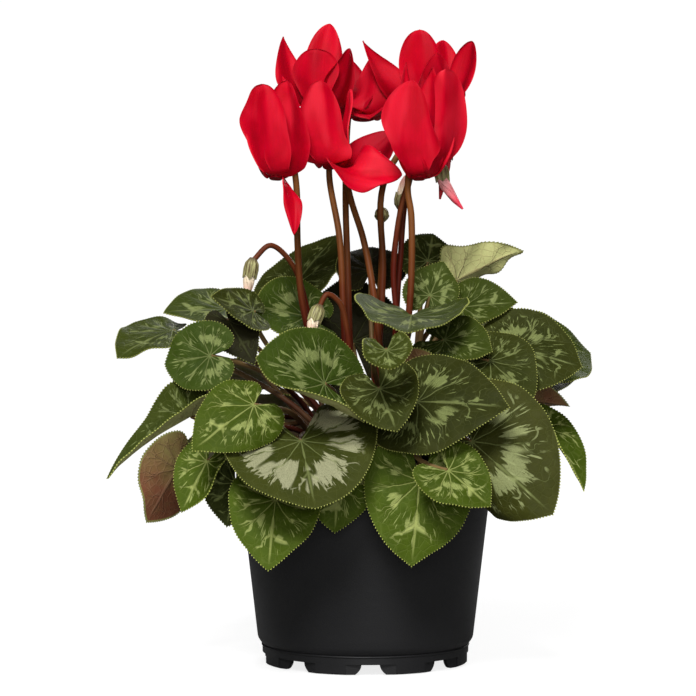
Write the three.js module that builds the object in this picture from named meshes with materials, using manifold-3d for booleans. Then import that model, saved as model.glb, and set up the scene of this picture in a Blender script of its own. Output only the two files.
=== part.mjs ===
// Potted cyclamen: a red florist's cyclamen with silver-marked leaves in a black nursery pot.
// Millimetres, +Z up. The origin is the middle of the pot's foot, and the viewer stands towards -Y.
import * as THREE from "three";
import { mergeVertices } from "three/addons/utils/BufferGeometryUtils.js";
import Module from "manifold-3d";

const wasm = await Module();
wasm.setup();

// Pot
const POT_HEIGHT = 102;
const POT_RIM_RADIUS = 65;
const POT_BODY_TOP_RADIUS = 63;
const POT_BODY_BOTTOM_RADIUS = 54;
const POT_FOOT_RADIUS = 51.6;
const POT_FOOT_HEIGHT = 9;
const POT_FOOT_WIDTH = 4;
const POT_FLOOR_HEIGHT = 5;
const POT_RIM_BAND = 11;
const POT_WALL = 1.4;
const POT_SEGMENTS = 28;
const NOTCHES = 8;
const NOTCH_TURN = 2.6;
const NOTCH_TOP_WIDTH = 9;
const NOTCH_BOTTOM_WIDTH = 15;
const NOTCH_HEIGHT = 5;
const DRAIN_HOLES = 4;
const DRAIN_RADIUS = 4.5;
const DRAIN_RING = 38;

// Soil and the tuber that every stem grows from
const SOIL_TOP = 89;
const SOIL_EDGE_TOP = 91;
const FIT_GAP = 0.3;
const TUBER_CENTRE = 89;
const TUBER_RADIUS = 28;
const TUBER_HALF_HEIGHT = 12;
const TUBER_SEGMENTS = 16;
const CROWN_RADIUS = 24.5;
const SOCKET_LEAN = 42;
const SOCKET_DEPTH = 3;
const SOCKET_RINGS = [
  { radius: 4, places: 4 },
  { radius: 9.5, places: 9 },
  { radius: 15, places: 14 },
  { radius: 20, places: 19 },
];

// Leaves
const BLADE_THICKNESS = 0.7;
const TOOTH = 0.03;
const EDGE_WAVE = 0.02;
const BEND_WIDTH = 0.7;
const MID_RING = 0.55;
const TIP_WIDTH = 0.5;
const LEAFSTALK_ROOT_RADIUS = 1.6;
const LEAFSTALK_TOP_RADIUS = 1.1;
const LEAFSTALK_SIDES = 4;
const STALK_END_DEPTH = 0.42;
const LEAFSTALK_STEPS = 4;

// Flowers
const PETAL_THICKNESS = 0.8;
const THROAT_RADIUS = 3.2;
const TUBE_RADIUS = 4.2;
const TUBE_LENGTH = 6;
const FLOWER_STALK_ROOT_RADIUS = 1.9;
const FLOWER_STALK_TOP_RADIUS = 1.4;
const BUD_STALK_RADIUS = 1.3;
const STALK_SIDES = 5;
const FLOWER_STALK_STEPS = 14;
const BUD_STALK_STEPS = 10;
const CALYX_LENGTH = 6;
const CALYX_RADIUS = 4.4;

// How far a leaf may be bent aside to stay clear of what is already in place
const CLEARANCE = 0.35;
const NUDGE_STEP = 3;
const MOST_NUDGES = { across: 2, away: 11, up: 3 };
const NUDGE_COST = { across: 2.5, away: 1, up: 2.5 };
const SIDE_BOWS = [0, 6, -6, 12, -12, 18, -18, 26, -26];
const RISE_BOWS = [0, 8, -8, 16, -14, 24];
const HOOK_SWINGS = [0, 6, -6, 12, -12, 18, -18, 24, -24, 32, -32];
const ASIDE_STEP = 3;
const MOST_ASIDES = 3;

const MATERIALS = {
  pot: { color: "#1b1b1d", roughness: 0.42, metalness: 0 },
  soil: { color: "#2c2119", roughness: 0.95, metalness: 0 },
  tuber: { color: "#5b4030", roughness: 0.85, metalness: 0 },
  mature: { color: "#3c5a2e", roughness: 0.5, metalness: 0 },
  young: { color: "#6c8c34", roughness: 0.5, metalness: 0 },
  petal: { color: "#d3121f", roughness: 0.45, metalness: 0 },
  stalk: { color: "#6f3526", roughness: 0.5, metalness: 0 },
  budPale: { color: "#e9c9b8", roughness: 0.5, metalness: 0 },
  budPink: { color: "#e05a6a", roughness: 0.5, metalness: 0 },
  pod: { color: "#3b3a26", roughness: 0.6, metalness: 0 },
};

// Vectors
const vec = (x, y, z) => new THREE.Vector3(x, y, z);
const radians = (degrees) => (degrees * Math.PI) / 180;
const mix = (a, b, t) => a.clone().lerp(b, t);
const along = (point, direction, distance) => point.clone().addScaledVector(direction, distance);

// The direction that a surface faces: 0 degrees round is towards the viewer, 90 is to the right.
function facing(round, up) {
  const [a, e] = [radians(round), radians(up)];
  return vec(Math.sin(a) * Math.cos(e), -Math.cos(a) * Math.cos(e), Math.sin(e));
}

// Solids
function solidFrom(points, triangles) {
  const vertProperties = new Float32Array(points.flatMap((p) => [p.x, p.y, p.z]));
  const triVerts = new Uint32Array(triangles.flat());
  const solid = new wasm.Manifold(new wasm.Mesh({ numProp: 3, vertProperties, triVerts }));
  return solid;
}

function solidOf(geometry) {
  geometry.deleteAttribute("normal");
  geometry.deleteAttribute("uv");
  const merged = mergeVertices(geometry, 1e-4);
  const vertProperties = new Float32Array(merged.attributes.position.array);
  const triVerts = new Uint32Array(merged.index.array);
  return new wasm.Manifold(new wasm.Mesh({ numProp: 3, vertProperties, triVerts }));
}

// A closed profile of [radius, height] pairs turned about the Z axis.
function turned(profile, segments) {
  const geometry = new THREE.LatheGeometry(profile.map(([r, z]) => new THREE.Vector2(r, z)), segments);
  geometry.rotateX(Math.PI / 2);
  return solidOf(geometry);
}

// Solids fused into one body. A crumb that is left where thin sheets cross is dropped.
function joined(solids) {
  const bodies = solids.reduce((whole, solid) => whole.add(solid)).decompose();
  bodies.sort((a, b) => b.volume() - a.volume());
  if (bodies.slice(1).some((body) => body.volume() > 0.001)) {
    throw new Error("the solids do not hold together");
  }
  return bodies[0];
}

function meshOf(name, solid, look) {
  const mesh = solid.getMesh();
  const geometry = new THREE.BufferGeometry();
  geometry.setAttribute("position", new THREE.BufferAttribute(mesh.vertProperties, 3));
  geometry.setIndex(new THREE.BufferAttribute(mesh.triVerts, 1));
  geometry.computeVertexNormals();
  const piece = new THREE.Mesh(geometry, new THREE.MeshStandardMaterial(MATERIALS[look]));
  piece.name = name;
  return piece;
}

// A smooth line through the given points, in a number of steps
function spline(points, steps) {
  return new THREE.CatmullRomCurve3(points, false, "centripetal").getPoints(steps);
}

function bezier([a, b, c, d], t) {
  const point = vec(0, 0, 0);
  point.addScaledVector(a, (1 - t) ** 3);
  point.addScaledVector(b, 3 * (1 - t) ** 2 * t);
  point.addScaledVector(c, 3 * (1 - t) * t * t);
  point.addScaledVector(d, t ** 3);
  return point;
}

// A rod along a line. Its radius is read off a list that is spread evenly from end to end.
function radiusAt(radii, t) {
  const place = t * (radii.length - 1);
  const i = Math.min(Math.floor(place), radii.length - 2);
  return THREE.MathUtils.lerp(radii[i], radii[i + 1], place - i);
}

function rod(line, radii, sides) {
  const last = line.length - 1;
  const points = [];
  const triangles = [];
  let normal = null;
  line.forEach((point, i) => {
    const tangent = line[Math.min(i + 1, last)].clone().sub(line[Math.max(i - 1, 0)]).normalize();
    normal = normal ?? (Math.abs(tangent.y) < 0.9 ? vec(0, -1, 0) : vec(1, 0, 0));
    normal = along(normal, tangent, -normal.dot(tangent)).normalize();
    const side = tangent.clone().cross(normal);
    const radius = radiusAt(radii, i / last);
    for (let k = 0; k < sides; k++) {
      const turn = (2 * Math.PI * k) / sides;
      points.push(along(along(point, normal, radius * Math.cos(turn)), side, radius * Math.sin(turn)));
    }
  });
  for (let i = 0; i < last; i++) {
    for (let k = 0; k < sides; k++) {
      const [a, b] = [i * sides + k, i * sides + ((k + 1) % sides)];
      triangles.push([a, b, b + sides], [a, b + sides, a + sides]);
    }
  }
  for (let k = 1; k < sides - 1; k++) {
    triangles.push([0, k + 1, k], [last * sides, last * sides + k, last * sides + k + 1]);
  }
  return solidFrom(points, triangles);
}

// A thin sheet: the same triangles on both faces, half the thickness to each side, and a closed rim.
function sheet(points, normals, triangles, rim, thickness) {
  const count = points.length;
  const top = points.map((p, i) => along(p, normals[i], thickness / 2));
  const bottom = points.map((p, i) => along(p, normals[i], -thickness / 2));
  const faces = [...triangles];
  triangles.forEach(([a, b, c]) => faces.push([a + count, c + count, b + count]));
  rim.forEach((a, i) => {
    const b = rim[(i + 1) % rim.length];
    faces.push([a, b + count, b], [a, a + count, b + count]);
  });
  return solidFrom([...top, ...bottom], faces);
}

// Pot
function notch(turnDegrees) {
  const shape = new THREE.Shape();
  shape.moveTo(-NOTCH_BOTTOM_WIDTH / 2, -1);
  shape.lineTo(NOTCH_BOTTOM_WIDTH / 2, -1);
  shape.lineTo(NOTCH_TOP_WIDTH / 2, NOTCH_HEIGHT);
  shape.lineTo(-NOTCH_TOP_WIDTH / 2, NOTCH_HEIGHT);
  shape.closePath();
  const geometry = new THREE.ExtrudeGeometry(shape, { depth: 12, bevelEnabled: false });
  geometry.rotateX(Math.PI / 2);
  geometry.translate(0, -POT_FOOT_RADIUS + 9, 0);
  geometry.rotateZ(radians(turnDegrees));
  return solidOf(geometry);
}

function drain(turnDegrees) {
  const geometry = new THREE.CylinderGeometry(DRAIN_RADIUS, DRAIN_RADIUS, 10, 8);
  geometry.rotateX(Math.PI / 2);
  geometry.translate(0, -DRAIN_RING, POT_FLOOR_HEIGHT);
  geometry.rotateZ(radians(turnDegrees));
  return solidOf(geometry);
}

function buildPot() {
  const footInner = POT_FOOT_RADIUS - POT_FOOT_WIDTH;
  const bandBottom = POT_HEIGHT - POT_RIM_BAND;
  const floorTop = POT_FLOOR_HEIGHT + POT_WALL;
  let pot = turned([
    [0, POT_FLOOR_HEIGHT],
    [footInner, POT_FLOOR_HEIGHT],
    [footInner, 0],
    [POT_FOOT_RADIUS, 0],
    [POT_FOOT_RADIUS, POT_FOOT_HEIGHT],
    [POT_BODY_BOTTOM_RADIUS, POT_FOOT_HEIGHT + 3.5],
    [POT_BODY_TOP_RADIUS, bandBottom - 1],
    [POT_RIM_RADIUS - 0.3, bandBottom],
    [POT_RIM_RADIUS, POT_HEIGHT],
    [POT_RIM_RADIUS - POT_WALL, POT_HEIGHT],
    [POT_RIM_RADIUS - 0.3 - POT_WALL, bandBottom + 1],
    [POT_BODY_TOP_RADIUS - POT_WALL, bandBottom - 1],
    [POT_BODY_BOTTOM_RADIUS - POT_WALL, POT_FOOT_HEIGHT + 4],
    [POT_FOOT_RADIUS - POT_WALL, floorTop],
    [0, floorTop],
  ], POT_SEGMENTS);
  for (let i = 0; i < NOTCHES; i++) {
    const turn = NOTCH_TURN + (i * 360) / NOTCHES;
    pot = pot.subtract(notch(turn));
  }
  for (let i = 0; i < DRAIN_HOLES; i++) {
    pot = pot.subtract(drain(NOTCH_TURN + ((i + 0.5) * 360) / DRAIN_HOLES));
  }
  return pot;
}

// Soil
function buildSoil() {
  const bottom = POT_FLOOR_HEIGHT + POT_WALL + FIT_GAP;
  const inset = POT_WALL + FIT_GAP + 0.2;
  const pit = 11;
  const plug = turned([
    [0, bottom],
    [POT_FOOT_RADIUS - inset, bottom],
    [POT_BODY_BOTTOM_RADIUS - inset, POT_FOOT_HEIGHT + 4],
    [POT_BODY_TOP_RADIUS - inset, POT_HEIGHT - POT_RIM_BAND - 1.5],
    [POT_BODY_TOP_RADIUS - inset - 3, SOIL_EDGE_TOP],
    [TUBER_RADIUS + pit, SOIL_TOP],
    [0, SOIL_TOP],
  ], POT_SEGMENTS);
  return plug.subtract(tuberBody(FIT_GAP));
}

// Tuber: a flattened corm with a level crown
function tuberBody(grow) {
  const top = TUBER_CENTRE + TUBER_HALF_HEIGHT;
  const bottom = TUBER_CENTRE - TUBER_HALF_HEIGHT;
  return turned([
    [0, bottom - grow],
    [TUBER_RADIUS * 0.7, bottom + 2 - grow],
    [TUBER_RADIUS + grow, TUBER_CENTRE],
    [CROWN_RADIUS + 1.5 + grow, top - 2.5],
    [CROWN_RADIUS + grow, top + grow],
    [0, top + grow],
  ], TUBER_SEGMENTS);
}

// Where a stem leaves the crown, and its direction there. It leans out more towards the crown's edge.
function socket(radius, turn) {
  const out = facing((turn * 180) / Math.PI, 90 - SOCKET_LEAN * (radius / CROWN_RADIUS));
  const top = TUBER_CENTRE + TUBER_HALF_HEIGHT;
  return { point: vec(radius * Math.sin(turn), -radius * Math.cos(turn), top), out };
}

function socketHole({ point, out }) {
  const radius = (FLOWER_STALK_ROOT_RADIUS + FIT_GAP) / Math.cos(Math.PI / 4);
  return rod([along(point, out, -SOCKET_DEPTH), along(point, out, 4)], [radius, radius], 4);
}

// Every stem gets a socket: the steepest in the middle, and each ring filled in turn round the tuber.
function shareSockets(stems) {
  const reach = (goal) => Math.hypot(goal.x, goal.y) / (goal.z - TUBER_CENTRE);
  const turnOf = (goal) => Math.atan2(goal.x, -goal.y);
  const byReach = [...stems].sort((a, b) => reach(a.goal) - reach(b.goal));
  let used = 0;
  for (const ring of SOCKET_RINGS) {
    const group = byReach.slice(used, used + ring.places).sort((a, b) => turnOf(a.goal) - turnOf(b.goal));
    group.forEach((stem, i) => {
      stem.socket = socket(ring.radius, -Math.PI + (2 * Math.PI * (i + 0.5)) / group.length);
    });
    used += group.length;
  }
}

// Leaf blade
// at: where the leafstalk joins, tip: the point of the heart, face: where its upper side looks,
// wide: its width over its length, cleft: half the angle of the notch, cup: how far each side bends
// up, fold: a crease along the middle, curl: how far it arches along its length, back: how much
// the rear lobes are drawn in, teeth: teeth on the edge, point: how wide the tip is.
function heart(angle, leaf) {
  const a = Math.abs(angle);
  const side = leaf.wide / 2;
  const radius = side + (1 - side) * Math.exp(-a / leaf.point) - leaf.back * (a / Math.PI) ** 2;
  return [radius * Math.cos(angle), radius * Math.sin(angle)];
}

function bladeFrame(leaf, nudge) {
  const length = leaf.at.distanceTo(leaf.tip);
  const forward = leaf.tip.clone().sub(leaf.at).normalize();
  const face = facing(...leaf.face);
  const up = along(face, forward, -face.dot(forward)).normalize();
  const across = up.clone().cross(forward);
  return { length, forward, up, across, root: leaf.at.clone().add(nudge) };
}

function bladePoint(leaf, frame, u, v, ring, angle) {
  const curl = leaf.curl;
  const bend = curl * (0.5 - u);
  const chord = (2 * Math.sin(curl / 2)) / curl;
  const run = (Math.sin(curl / 2) - Math.sin(bend)) / curl;
  const rise = (Math.cos(bend) - Math.cos(curl / 2)) / curl;
  const cup = v > 0 ? leaf.cup[0] : leaf.cup[1];
  const rate = (cup || 1e-4) / BEND_WIDTH;
  const side = v > 0 ? 1 : -1;
  const tilt = leaf.fold + rate * Math.abs(v);
  const out = (side * (Math.sin(tilt) - Math.sin(leaf.fold))) / rate;
  const lift = (Math.cos(leaf.fold) - Math.cos(tilt)) / rate;
  const wave = EDGE_WAVE * ring * ring * Math.sin(3 * angle + leaf.phase);
  const { length, forward, up, across, root } = frame;
  const local = along(up.clone().multiplyScalar(Math.cos(bend)), forward, -Math.sin(bend));
  const point = along(along(root, forward, (length / chord) * run), up, (length / chord) * rise);
  point.addScaledVector(across, length * out).addScaledVector(local, length * (lift + wave));
  const normal = along(local.clone().multiplyScalar(Math.cos(tilt)), across, -side * Math.sin(tilt));
  return { point, normal };
}

function blade(leaf, nudge, grow) {
  const frame = bladeFrame(leaf, nudge);
  const points = [];
  const normals = [];
  const place = (u, v, ring, angle) => {
    const { point, normal } = bladePoint(leaf, frame, u, v, ring, angle);
    points.push(point);
    normals.push(normal);
    return points.length - 1;
  };
  const centre = place(0, 0, 0, 0);
  const sweep = Math.PI - radians(leaf.cleft);
  const last = 2 * leaf.teeth;
  const angles = Array.from({ length: last + 1 }, (_, i) => sweep * ((2 * i) / last - 1));
  const edge = angles.map((angle, i) => {
    const tooth = 1 + (i === leaf.teeth ? 0 : i % 2 ? -TOOTH : TOOTH);
    const [u, v] = heart(angle, leaf);
    return place(u * tooth, v * tooth, 1, angle);
  });
  const middle = angles.filter((_, i) => i % 4 === 0).map((angle) => {
    const [u, v] = heart(angle, leaf);
    return place(u * MID_RING, v * MID_RING, MID_RING, angle);
  });
  const triangles = [];
  for (let j = 0; j + 1 < middle.length; j++) {
    const [a, b] = [middle[j], middle[j + 1]];
    const [p, q, r, s, t] = edge.slice(4 * j, 4 * j + 5);
    triangles.push([centre, a, b], [a, p, q], [a, q, r], [a, r, b], [b, r, s], [b, s, t]);
  }
  const rim = [centre, middle[0], ...edge, middle.at(-1)];
  return sheet(points, normals, triangles, rim, BLADE_THICKNESS + 2 * grow);
}

// Leafstalk: from its socket up, out and into the blade from below and behind.
function leafstalkLine(leaf, base, nudge, sideBow, riseBow) {
  const { forward, up, root } = bladeFrame(leaf, nudge);
  const reach = base.point.distanceTo(root);
  const into = along(up.clone().multiplyScalar(0.8), forward, 0.6).normalize();
  const level = root.clone().sub(base.point).setZ(0).normalize();
  const bow = vec(-level.y * sideBow, level.x * sideBow, riseBow);
  const first = along(along(base.point, base.out, 0.4 * reach), bow, 0.7);
  const second = along(along(root, into, -0.35 * reach), bow, 1);
  const line = [along(base.point, base.out, FIT_GAP - SOCKET_DEPTH)];
  const end = along(root, into, -STALK_END_DEPTH);
  for (let i = 0; i <= LEAFSTALK_STEPS; i++) {
    line.push(bezier([base.point, first, second, end], i / LEAFSTALK_STEPS));
  }
  return line;
}

function leafstalk(leaf, base, nudge, sideBow, riseBow, grow) {
  const line = leafstalkLine(leaf, base, nudge, sideBow, riseBow);
  return rod(line, [LEAFSTALK_ROOT_RADIUS + grow, LEAFSTALK_TOP_RADIUS + grow], LEAFSTALK_SIDES);
}

// What is in place already, and a test that a new solid clears all of it
const standing = [];

function stand(name, solid) {
  standing.push({ name, solid, box: solid.boundingBox() });
}

function crosses(solid, ignore = []) {
  const box = solid.boundingBox();
  return standing.find((other) => {
    if (ignore.includes(other.name)) return false;
    const apart = [0, 1, 2].some((k) => box.min[k] > other.box.max[k] || box.max[k] < other.box.min[k]);
    return !apart && solid.intersect(other.solid).volume() > 1e-5;
  });
}

// Whole steps in each direction, the least first
function steps(across, away, up, size, cost) {
  const list = [];
  for (let x = -across; x <= across; x++) {
    for (let y = -away; y <= away; y++) {
      for (let z = -up; z <= up; z++) list.push(vec(x, y, z).multiplyScalar(size));
    }
  }
  const price = (v) => cost.across * Math.abs(v.x) + cost.away * Math.abs(v.y) + cost.up * Math.abs(v.z);
  return list.sort((a, b) => price(a) - price(b));
}

const NUDGES = steps(MOST_NUDGES.across, MOST_NUDGES.away, MOST_NUDGES.up, NUDGE_STEP, NUDGE_COST);
const BOWS = RISE_BOWS.flatMap((rise) => SIDE_BOWS.map((side) => ({ side, rise })));
BOWS.sort((a, b) => Math.hypot(a.side, a.rise) - Math.hypot(b.side, b.rise));

// A leaf is nudged, mostly to or from the viewer, and its stalk is bowed, until it is clear of the rest.
function placeLeaf(leaf, base) {
  for (const nudge of NUDGES) {
    if (crosses(blade(leaf, nudge, CLEARANCE))) continue;
    for (const { side, rise } of BOWS) {
      if (crosses(leafstalk(leaf, base, nudge, side, rise, CLEARANCE), ["tuber"])) continue;
      leaf.found = { nudge, side, rise };
      return blade(leaf, nudge, 0).add(leafstalk(leaf, base, nudge, side, rise, 0));
    }
  }
  throw new Error(`no clear place for the leaf at ${leaf.at.toArray()}`);
}

// The first of several shapes that is clear of the rest
function firstClear(name, choices, build) {
  const choice = choices.find((one) => !crosses(build(one, CLEARANCE), ["tuber"]));
  if (!choice) throw new Error(`no clear way for ${name}`);
  return build(choice, 0);
}

const ASIDES = steps(MOST_ASIDES, MOST_ASIDES, 0, ASIDE_STEP, { across: 1, away: 1, up: 1 });

// Flowers
// mouth: the middle of the flower's nodding mouth, nod: where the mouth looks, hook: the side on which
// the stalk comes up, via: places that the stalk passes, petals: one row for each petal, giving the
// side on which it leaves the mouth, its tip, the way its broad side looks, its width and its belly.
const petalRow = (side, tip, face, width, belly) => ({ side, tip: vec(...tip), face, width, belly });

const FLOWERS = [
  {
    name: "front_left", mouth: [-44, -30, 241], nod: [-10, -75], hook: 105,
    via: [[-20, -10, 140], [-31, -16, 178], [-33.5, -22, 208]],
    petals: [
      petalRow(-25, [-50, -42, 286], [-12, 8], 25, 13),
      petalRow(35, [-39, -33, 288], [25, 5], 23, 12),
      petalRow(70, [-35, -41, 213], [35, 0], 10, 6),
      petalRow(172, [-40, -16, 290], [160, 0], 20, 11),
      petalRow(-100, [-53, -22, 281], [-110, 0], 20, 11),
    ],
  },
  {
    name: "middle_left", mouth: [-18, -8, 247], nod: [0, -75], hook: 180,
    via: [[-9, -4, 140], [-11, -6, 176], [-13, -3, 212]],
    petals: [
      petalRow(-15, [-22, -18, 289], [5, 5], 25, 12),
      petalRow(55, [18, -16, 243], [8, 35], 21, 12),
      petalRow(105, [13, 6, 264], [20, 0], 18, 10),
      petalRow(-90, [-35, -3, 283], [-120, 0], 22, 11),
      petalRow(125, [-8, 4, 286], [120, 0], 20, 11),
    ],
  },
  {
    name: "back_left", mouth: [-24, 16, 277], nod: [0, -70], hook: 110,
    via: [[8, 0, 140], [4, 4, 184], [-1, 12, 211], [-8, 18, 234]],
    petals: [
      petalRow(-95, [-41, 14, 313], [-20, 0], 17, 12),
      petalRow(186, [-18, 34, 321], [-10, 5], 24, 12),
      petalRow(-10, [-24, 4, 306], [-5, 8], 22, 11),
      petalRow(65, [-8, 12, 307], [50, 0], 20, 11),
      petalRow(-138, [-38, 30, 304], [-150, 0], 20, 12),
    ],
  },
  {
    name: "back_middle", mouth: [0, 30, 273], nod: [0, -65], hook: -120,
    via: [[-7, 8, 140], [-9, 15, 198], [-10, 26, 235]],
    petals: [
      petalRow(30, [6, 26, 305], [-25, 0], 24, 12),
      petalRow(0, [2, 2, 271], [0, 75], 22, 10),
      petalRow(95, [22, 40, 297], [80, 0], 20, 11),
      petalRow(165, [6, 52, 299], [170, 0], 22, 12),
      petalRow(-55, [-12, 40, 300], [-60, 0], 16, 10),
    ],
  },
  {
    name: "back_right", mouth: [33, 18, 278], nod: [0, -70], hook: -145,
    via: [[7, 14, 140], [9, 20, 196], [9, 24, 238]],
    petals: [
      petalRow(-80, [-1, 13, 311], [-20, 10], 15, 12),
      petalRow(-25, [27, 6, 316], [-12, 8], 23, 12),
      petalRow(30, [35, 0, 304], [20, 5], 20, 11),
      petalRow(85, [53, 16, 311], [30, 0], 14, 12),
      petalRow(150, [40, 38, 313], [10, 0], 23, 12),
    ],
  },
  {
    name: "front_right", mouth: [26, -26, 241], nod: [5, -75], hook: -150,
    via: [[14, -12, 140], [21, -19, 172], [22.5, -18, 222]],
    petals: [
      petalRow(-25, [22, -40, 288], [-8, 8], 26, 13),
      petalRow(35, [32, -28, 295], [20, 5], 20, 9),
      petalRow(90, [41, -28, 294], [35, 5], 23, 13),
      petalRow(-95, [20, -16, 298], [-40, 0], 20, 11),
      petalRow(150, [38, -12, 289], [150, 0], 20, 12),
    ],
  },
];

// Half the width of a petal along its length, as a share of its widest: narrow at the foot, broad at
// the end.
const petalShape = (t) => Math.max((1 - t) ** 0.45 * (0.13 + 1.5 * t + t * t), 0.12);
const PETAL_ROWS = [0, 0.18, 0.42, 0.7, 0.91, 1];
const PETAL_COLUMNS = [-1, 0, 1];

function petal(flower, row) {
  const mouth = vec(...flower.mouth);
  const nod = facing(...flower.nod);
  const level = facing(row.side, 0);
  const side = along(level, nod, -level.dot(nod)).normalize();
  const foot = along(along(mouth, side, THROAT_RADIUS), nod, -1.5);
  const turn = along(along(foot, nod, 6), side, 6);
  const rise = along(mix(mouth, row.tip, 0.28), level, row.belly);
  const curve = [foot, turn, rise, row.tip];
  const slopeAt = (t) => {
    const before = bezier(curve, Math.max(t - 0.01, 0));
    return bezier(curve, Math.min(t + 0.01, 1)).sub(before).normalize();
  };
  const start = side.clone().cross(nod).normalize();
  const end = facing(...row.face).cross(slopeAt(1)).normalize();
  if (end.dot(start) < 0) end.negate();
  const points = [];
  const normals = [];
  for (const t of PETAL_ROWS) {
    const slope = slopeAt(t);
    const blend = THREE.MathUtils.smoothstep(t, 0.1, 0.75);
    const mixed = mix(start, end, blend);
    const across = along(mixed, slope, -mixed.dot(slope)).normalize();
    const out = slope.clone().cross(across);
    const half = (row.width / 2) * petalShape(t);
    for (const s of PETAL_COLUMNS) {
      points.push(along(along(bezier(curve, t), across, s * half), out, 0.22 * half * s * s));
      normals.push(along(out, across, -0.44 * s).normalize());
    }
  }
  const columns = PETAL_COLUMNS.length;
  const rows = PETAL_ROWS.length;
  const triangles = [];
  for (let i = 0; i + 1 < rows; i++) {
    for (let j = 0; j + 1 < columns; j++) {
      const a = i * columns + j;
      triangles.push([a, a + columns + 1, a + 1], [a, a + columns, a + columns + 1]);
    }
  }
  const rim = [];
  for (let i = 0; i < rows; i++) rim.push(i * columns);
  for (let j = 1; j < columns; j++) rim.push((rows - 1) * columns + j);
  for (let i = rows - 2; i >= 0; i--) rim.push((i + 1) * columns - 1);
  for (let j = columns - 2; j > 0; j--) rim.push(j);
  return sheet(points, normals, triangles, rim, PETAL_THICKNESS);
}

// The petals of one flower and the short tube that they grow from.
function corolla(flower) {
  const mouth = vec(...flower.mouth);
  const nod = facing(...flower.nod);
  const tube = rod([along(mouth, nod, 0.6), mouth, along(mouth, nod, -TUBE_LENGTH)],
    [THROAT_RADIUS, THROAT_RADIUS + 0.6, TUBE_RADIUS], 6);
  return joined([tube, ...flower.petals.map((row) => petal(flower, row))]);
}

// The foot of a stem: straight out of its socket, then on to the first place it passes.
function stemFoot(base) {
  return [FIT_GAP - SOCKET_DEPTH, 2, 9].map((distance) => along(base.point, base.out, distance));
}

// A flower's stalk comes up beside the mouth, between two petals, and hooks over into the calyx.
function flowerStalk(flower, base, { swing, aside }, grow) {
  const mouth = vec(...flower.mouth);
  const nod = facing(...flower.nod);
  const level = facing(flower.hook + swing, 0);
  const beside = (out, up) => along(mouth, level, out).add(vec(0, 0, up));
  const crown = along(mouth, nod, -TUBE_LENGTH - FIT_GAP);
  const neck = along(crown, nod, -CALYX_LENGTH);
  const [first, ...rest] = flower.via.map((p) => vec(...p));
  const points = [
    ...stemFoot(base),
    first.add(aside),
    ...rest,
    beside(10.5, -6),
    beside(9, 6),
    beside(7, 14.5),
    along(neck, level, 3).add(vec(0, 0, 3.6)),
    along(neck, nod, 0.5),
  ];
  const radii = [FLOWER_STALK_ROOT_RADIUS + grow, FLOWER_STALK_TOP_RADIUS + grow];
  const stalk = rod(spline(points, FLOWER_STALK_STEPS), radii, STALK_SIDES);
  if (grow) return stalk;
  return stalk.add(rod([crown, mix(crown, neck, 0.5), neck], [CALYX_RADIUS, CALYX_RADIUS - 0.6, 2], 7));
}

// Buds: a stalk through some places, a green calyx at its end, and a cone of furled petals.
const BUDS = [
  {
    name: "left", look: "budPale", calyx: [[-55.5, -20, 202], [-57, -20, 193.5]], tip: [-59.5, -20, 180],
    via: [[-20, -3, 140], [-28, -6, 172], [-36, -12, 198], [-47, -17, 208]],
  },
  {
    name: "middle", look: "budPale", calyx: [[-22.5, -30, 179], [-25, -31.5, 172]], tip: [-28.5, -34, 162],
    via: [[-8, -18, 140], [-9, -24, 165], [-13, -27, 180], [-19, -29, 184]],
  },
  {
    name: "right_high", look: "petal", calyx: [[40, -1, 260], [40, -2, 252]], tip: [37, -4, 231],
    via: [[12, 4, 140], [17, 3, 196], [21, 3, 236], [30, 5, 260], [37, 2, 267]],
  },
  {
    name: "right_low", look: "budPink", calyx: [[37, -10, 249], [38, -11, 241]], tip: [48, -14, 226],
    via: [[11, -4, 140], [14, -4, 196], [19, -7, 232], [27, -8, 250], [33, -9, 254]],
  },
  {
    name: "small", look: "budPale", calyx: [[17.5, 11, 226], [18.5, 10, 233]], tip: [20, 10, 243],
    via: [[13, 9, 140], [14, 13, 196]],
  },
];

function budStalk(bud, base, aside, grow) {
  const [neck, mouth] = bud.calyx.map((p) => vec(...p));
  const [first, ...rest] = bud.via.map((p) => vec(...p));
  const points = [...stemFoot(base), first.add(aside), ...rest, mix(neck, mouth, 0.2)];
  const radii = [BUD_STALK_RADIUS + 0.3 + grow, BUD_STALK_RADIUS + grow];
  const stalk = rod(spline(points, BUD_STALK_STEPS), radii, STALK_SIDES);
  return stalk.add(rod([neck, mix(neck, mouth, 0.5), mouth], [2 + grow, 3.7 + grow, 3.3 + grow], 7));
}

function budCone(bud) {
  const [neck, mouth] = bud.calyx.map((p) => vec(...p));
  const axis = mouth.clone().sub(neck).normalize();
  const from = along(mouth, axis, FIT_GAP);
  const tip = vec(...bud.tip);
  return rod([from, along(from, axis, 2.5), mix(from, tip, 0.65), tip], [2.7, 3, 2.2, 0.8], 6);
}

// The green seed pod on its stalk
const POD = { centre: [8.5, 30, 224], radius: 3.6, via: [[5, 20, 140], [8, 28, 196]] };

function buildPod(base, aside, grow) {
  const geometry = new THREE.SphereGeometry(POD.radius + grow, 8, 6);
  geometry.translate(...POD.centre);
  const [first, ...rest] = POD.via.map((p) => vec(...p));
  const points = [...stemFoot(base), first.add(aside), ...rest, vec(...POD.centre)];
  const radii = [BUD_STALK_RADIUS + 0.3 + grow, BUD_STALK_RADIUS + grow];
  return rod(spline(points, BUD_STALK_STEPS), radii, STALK_SIDES).add(solidOf(geometry));
}

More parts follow.
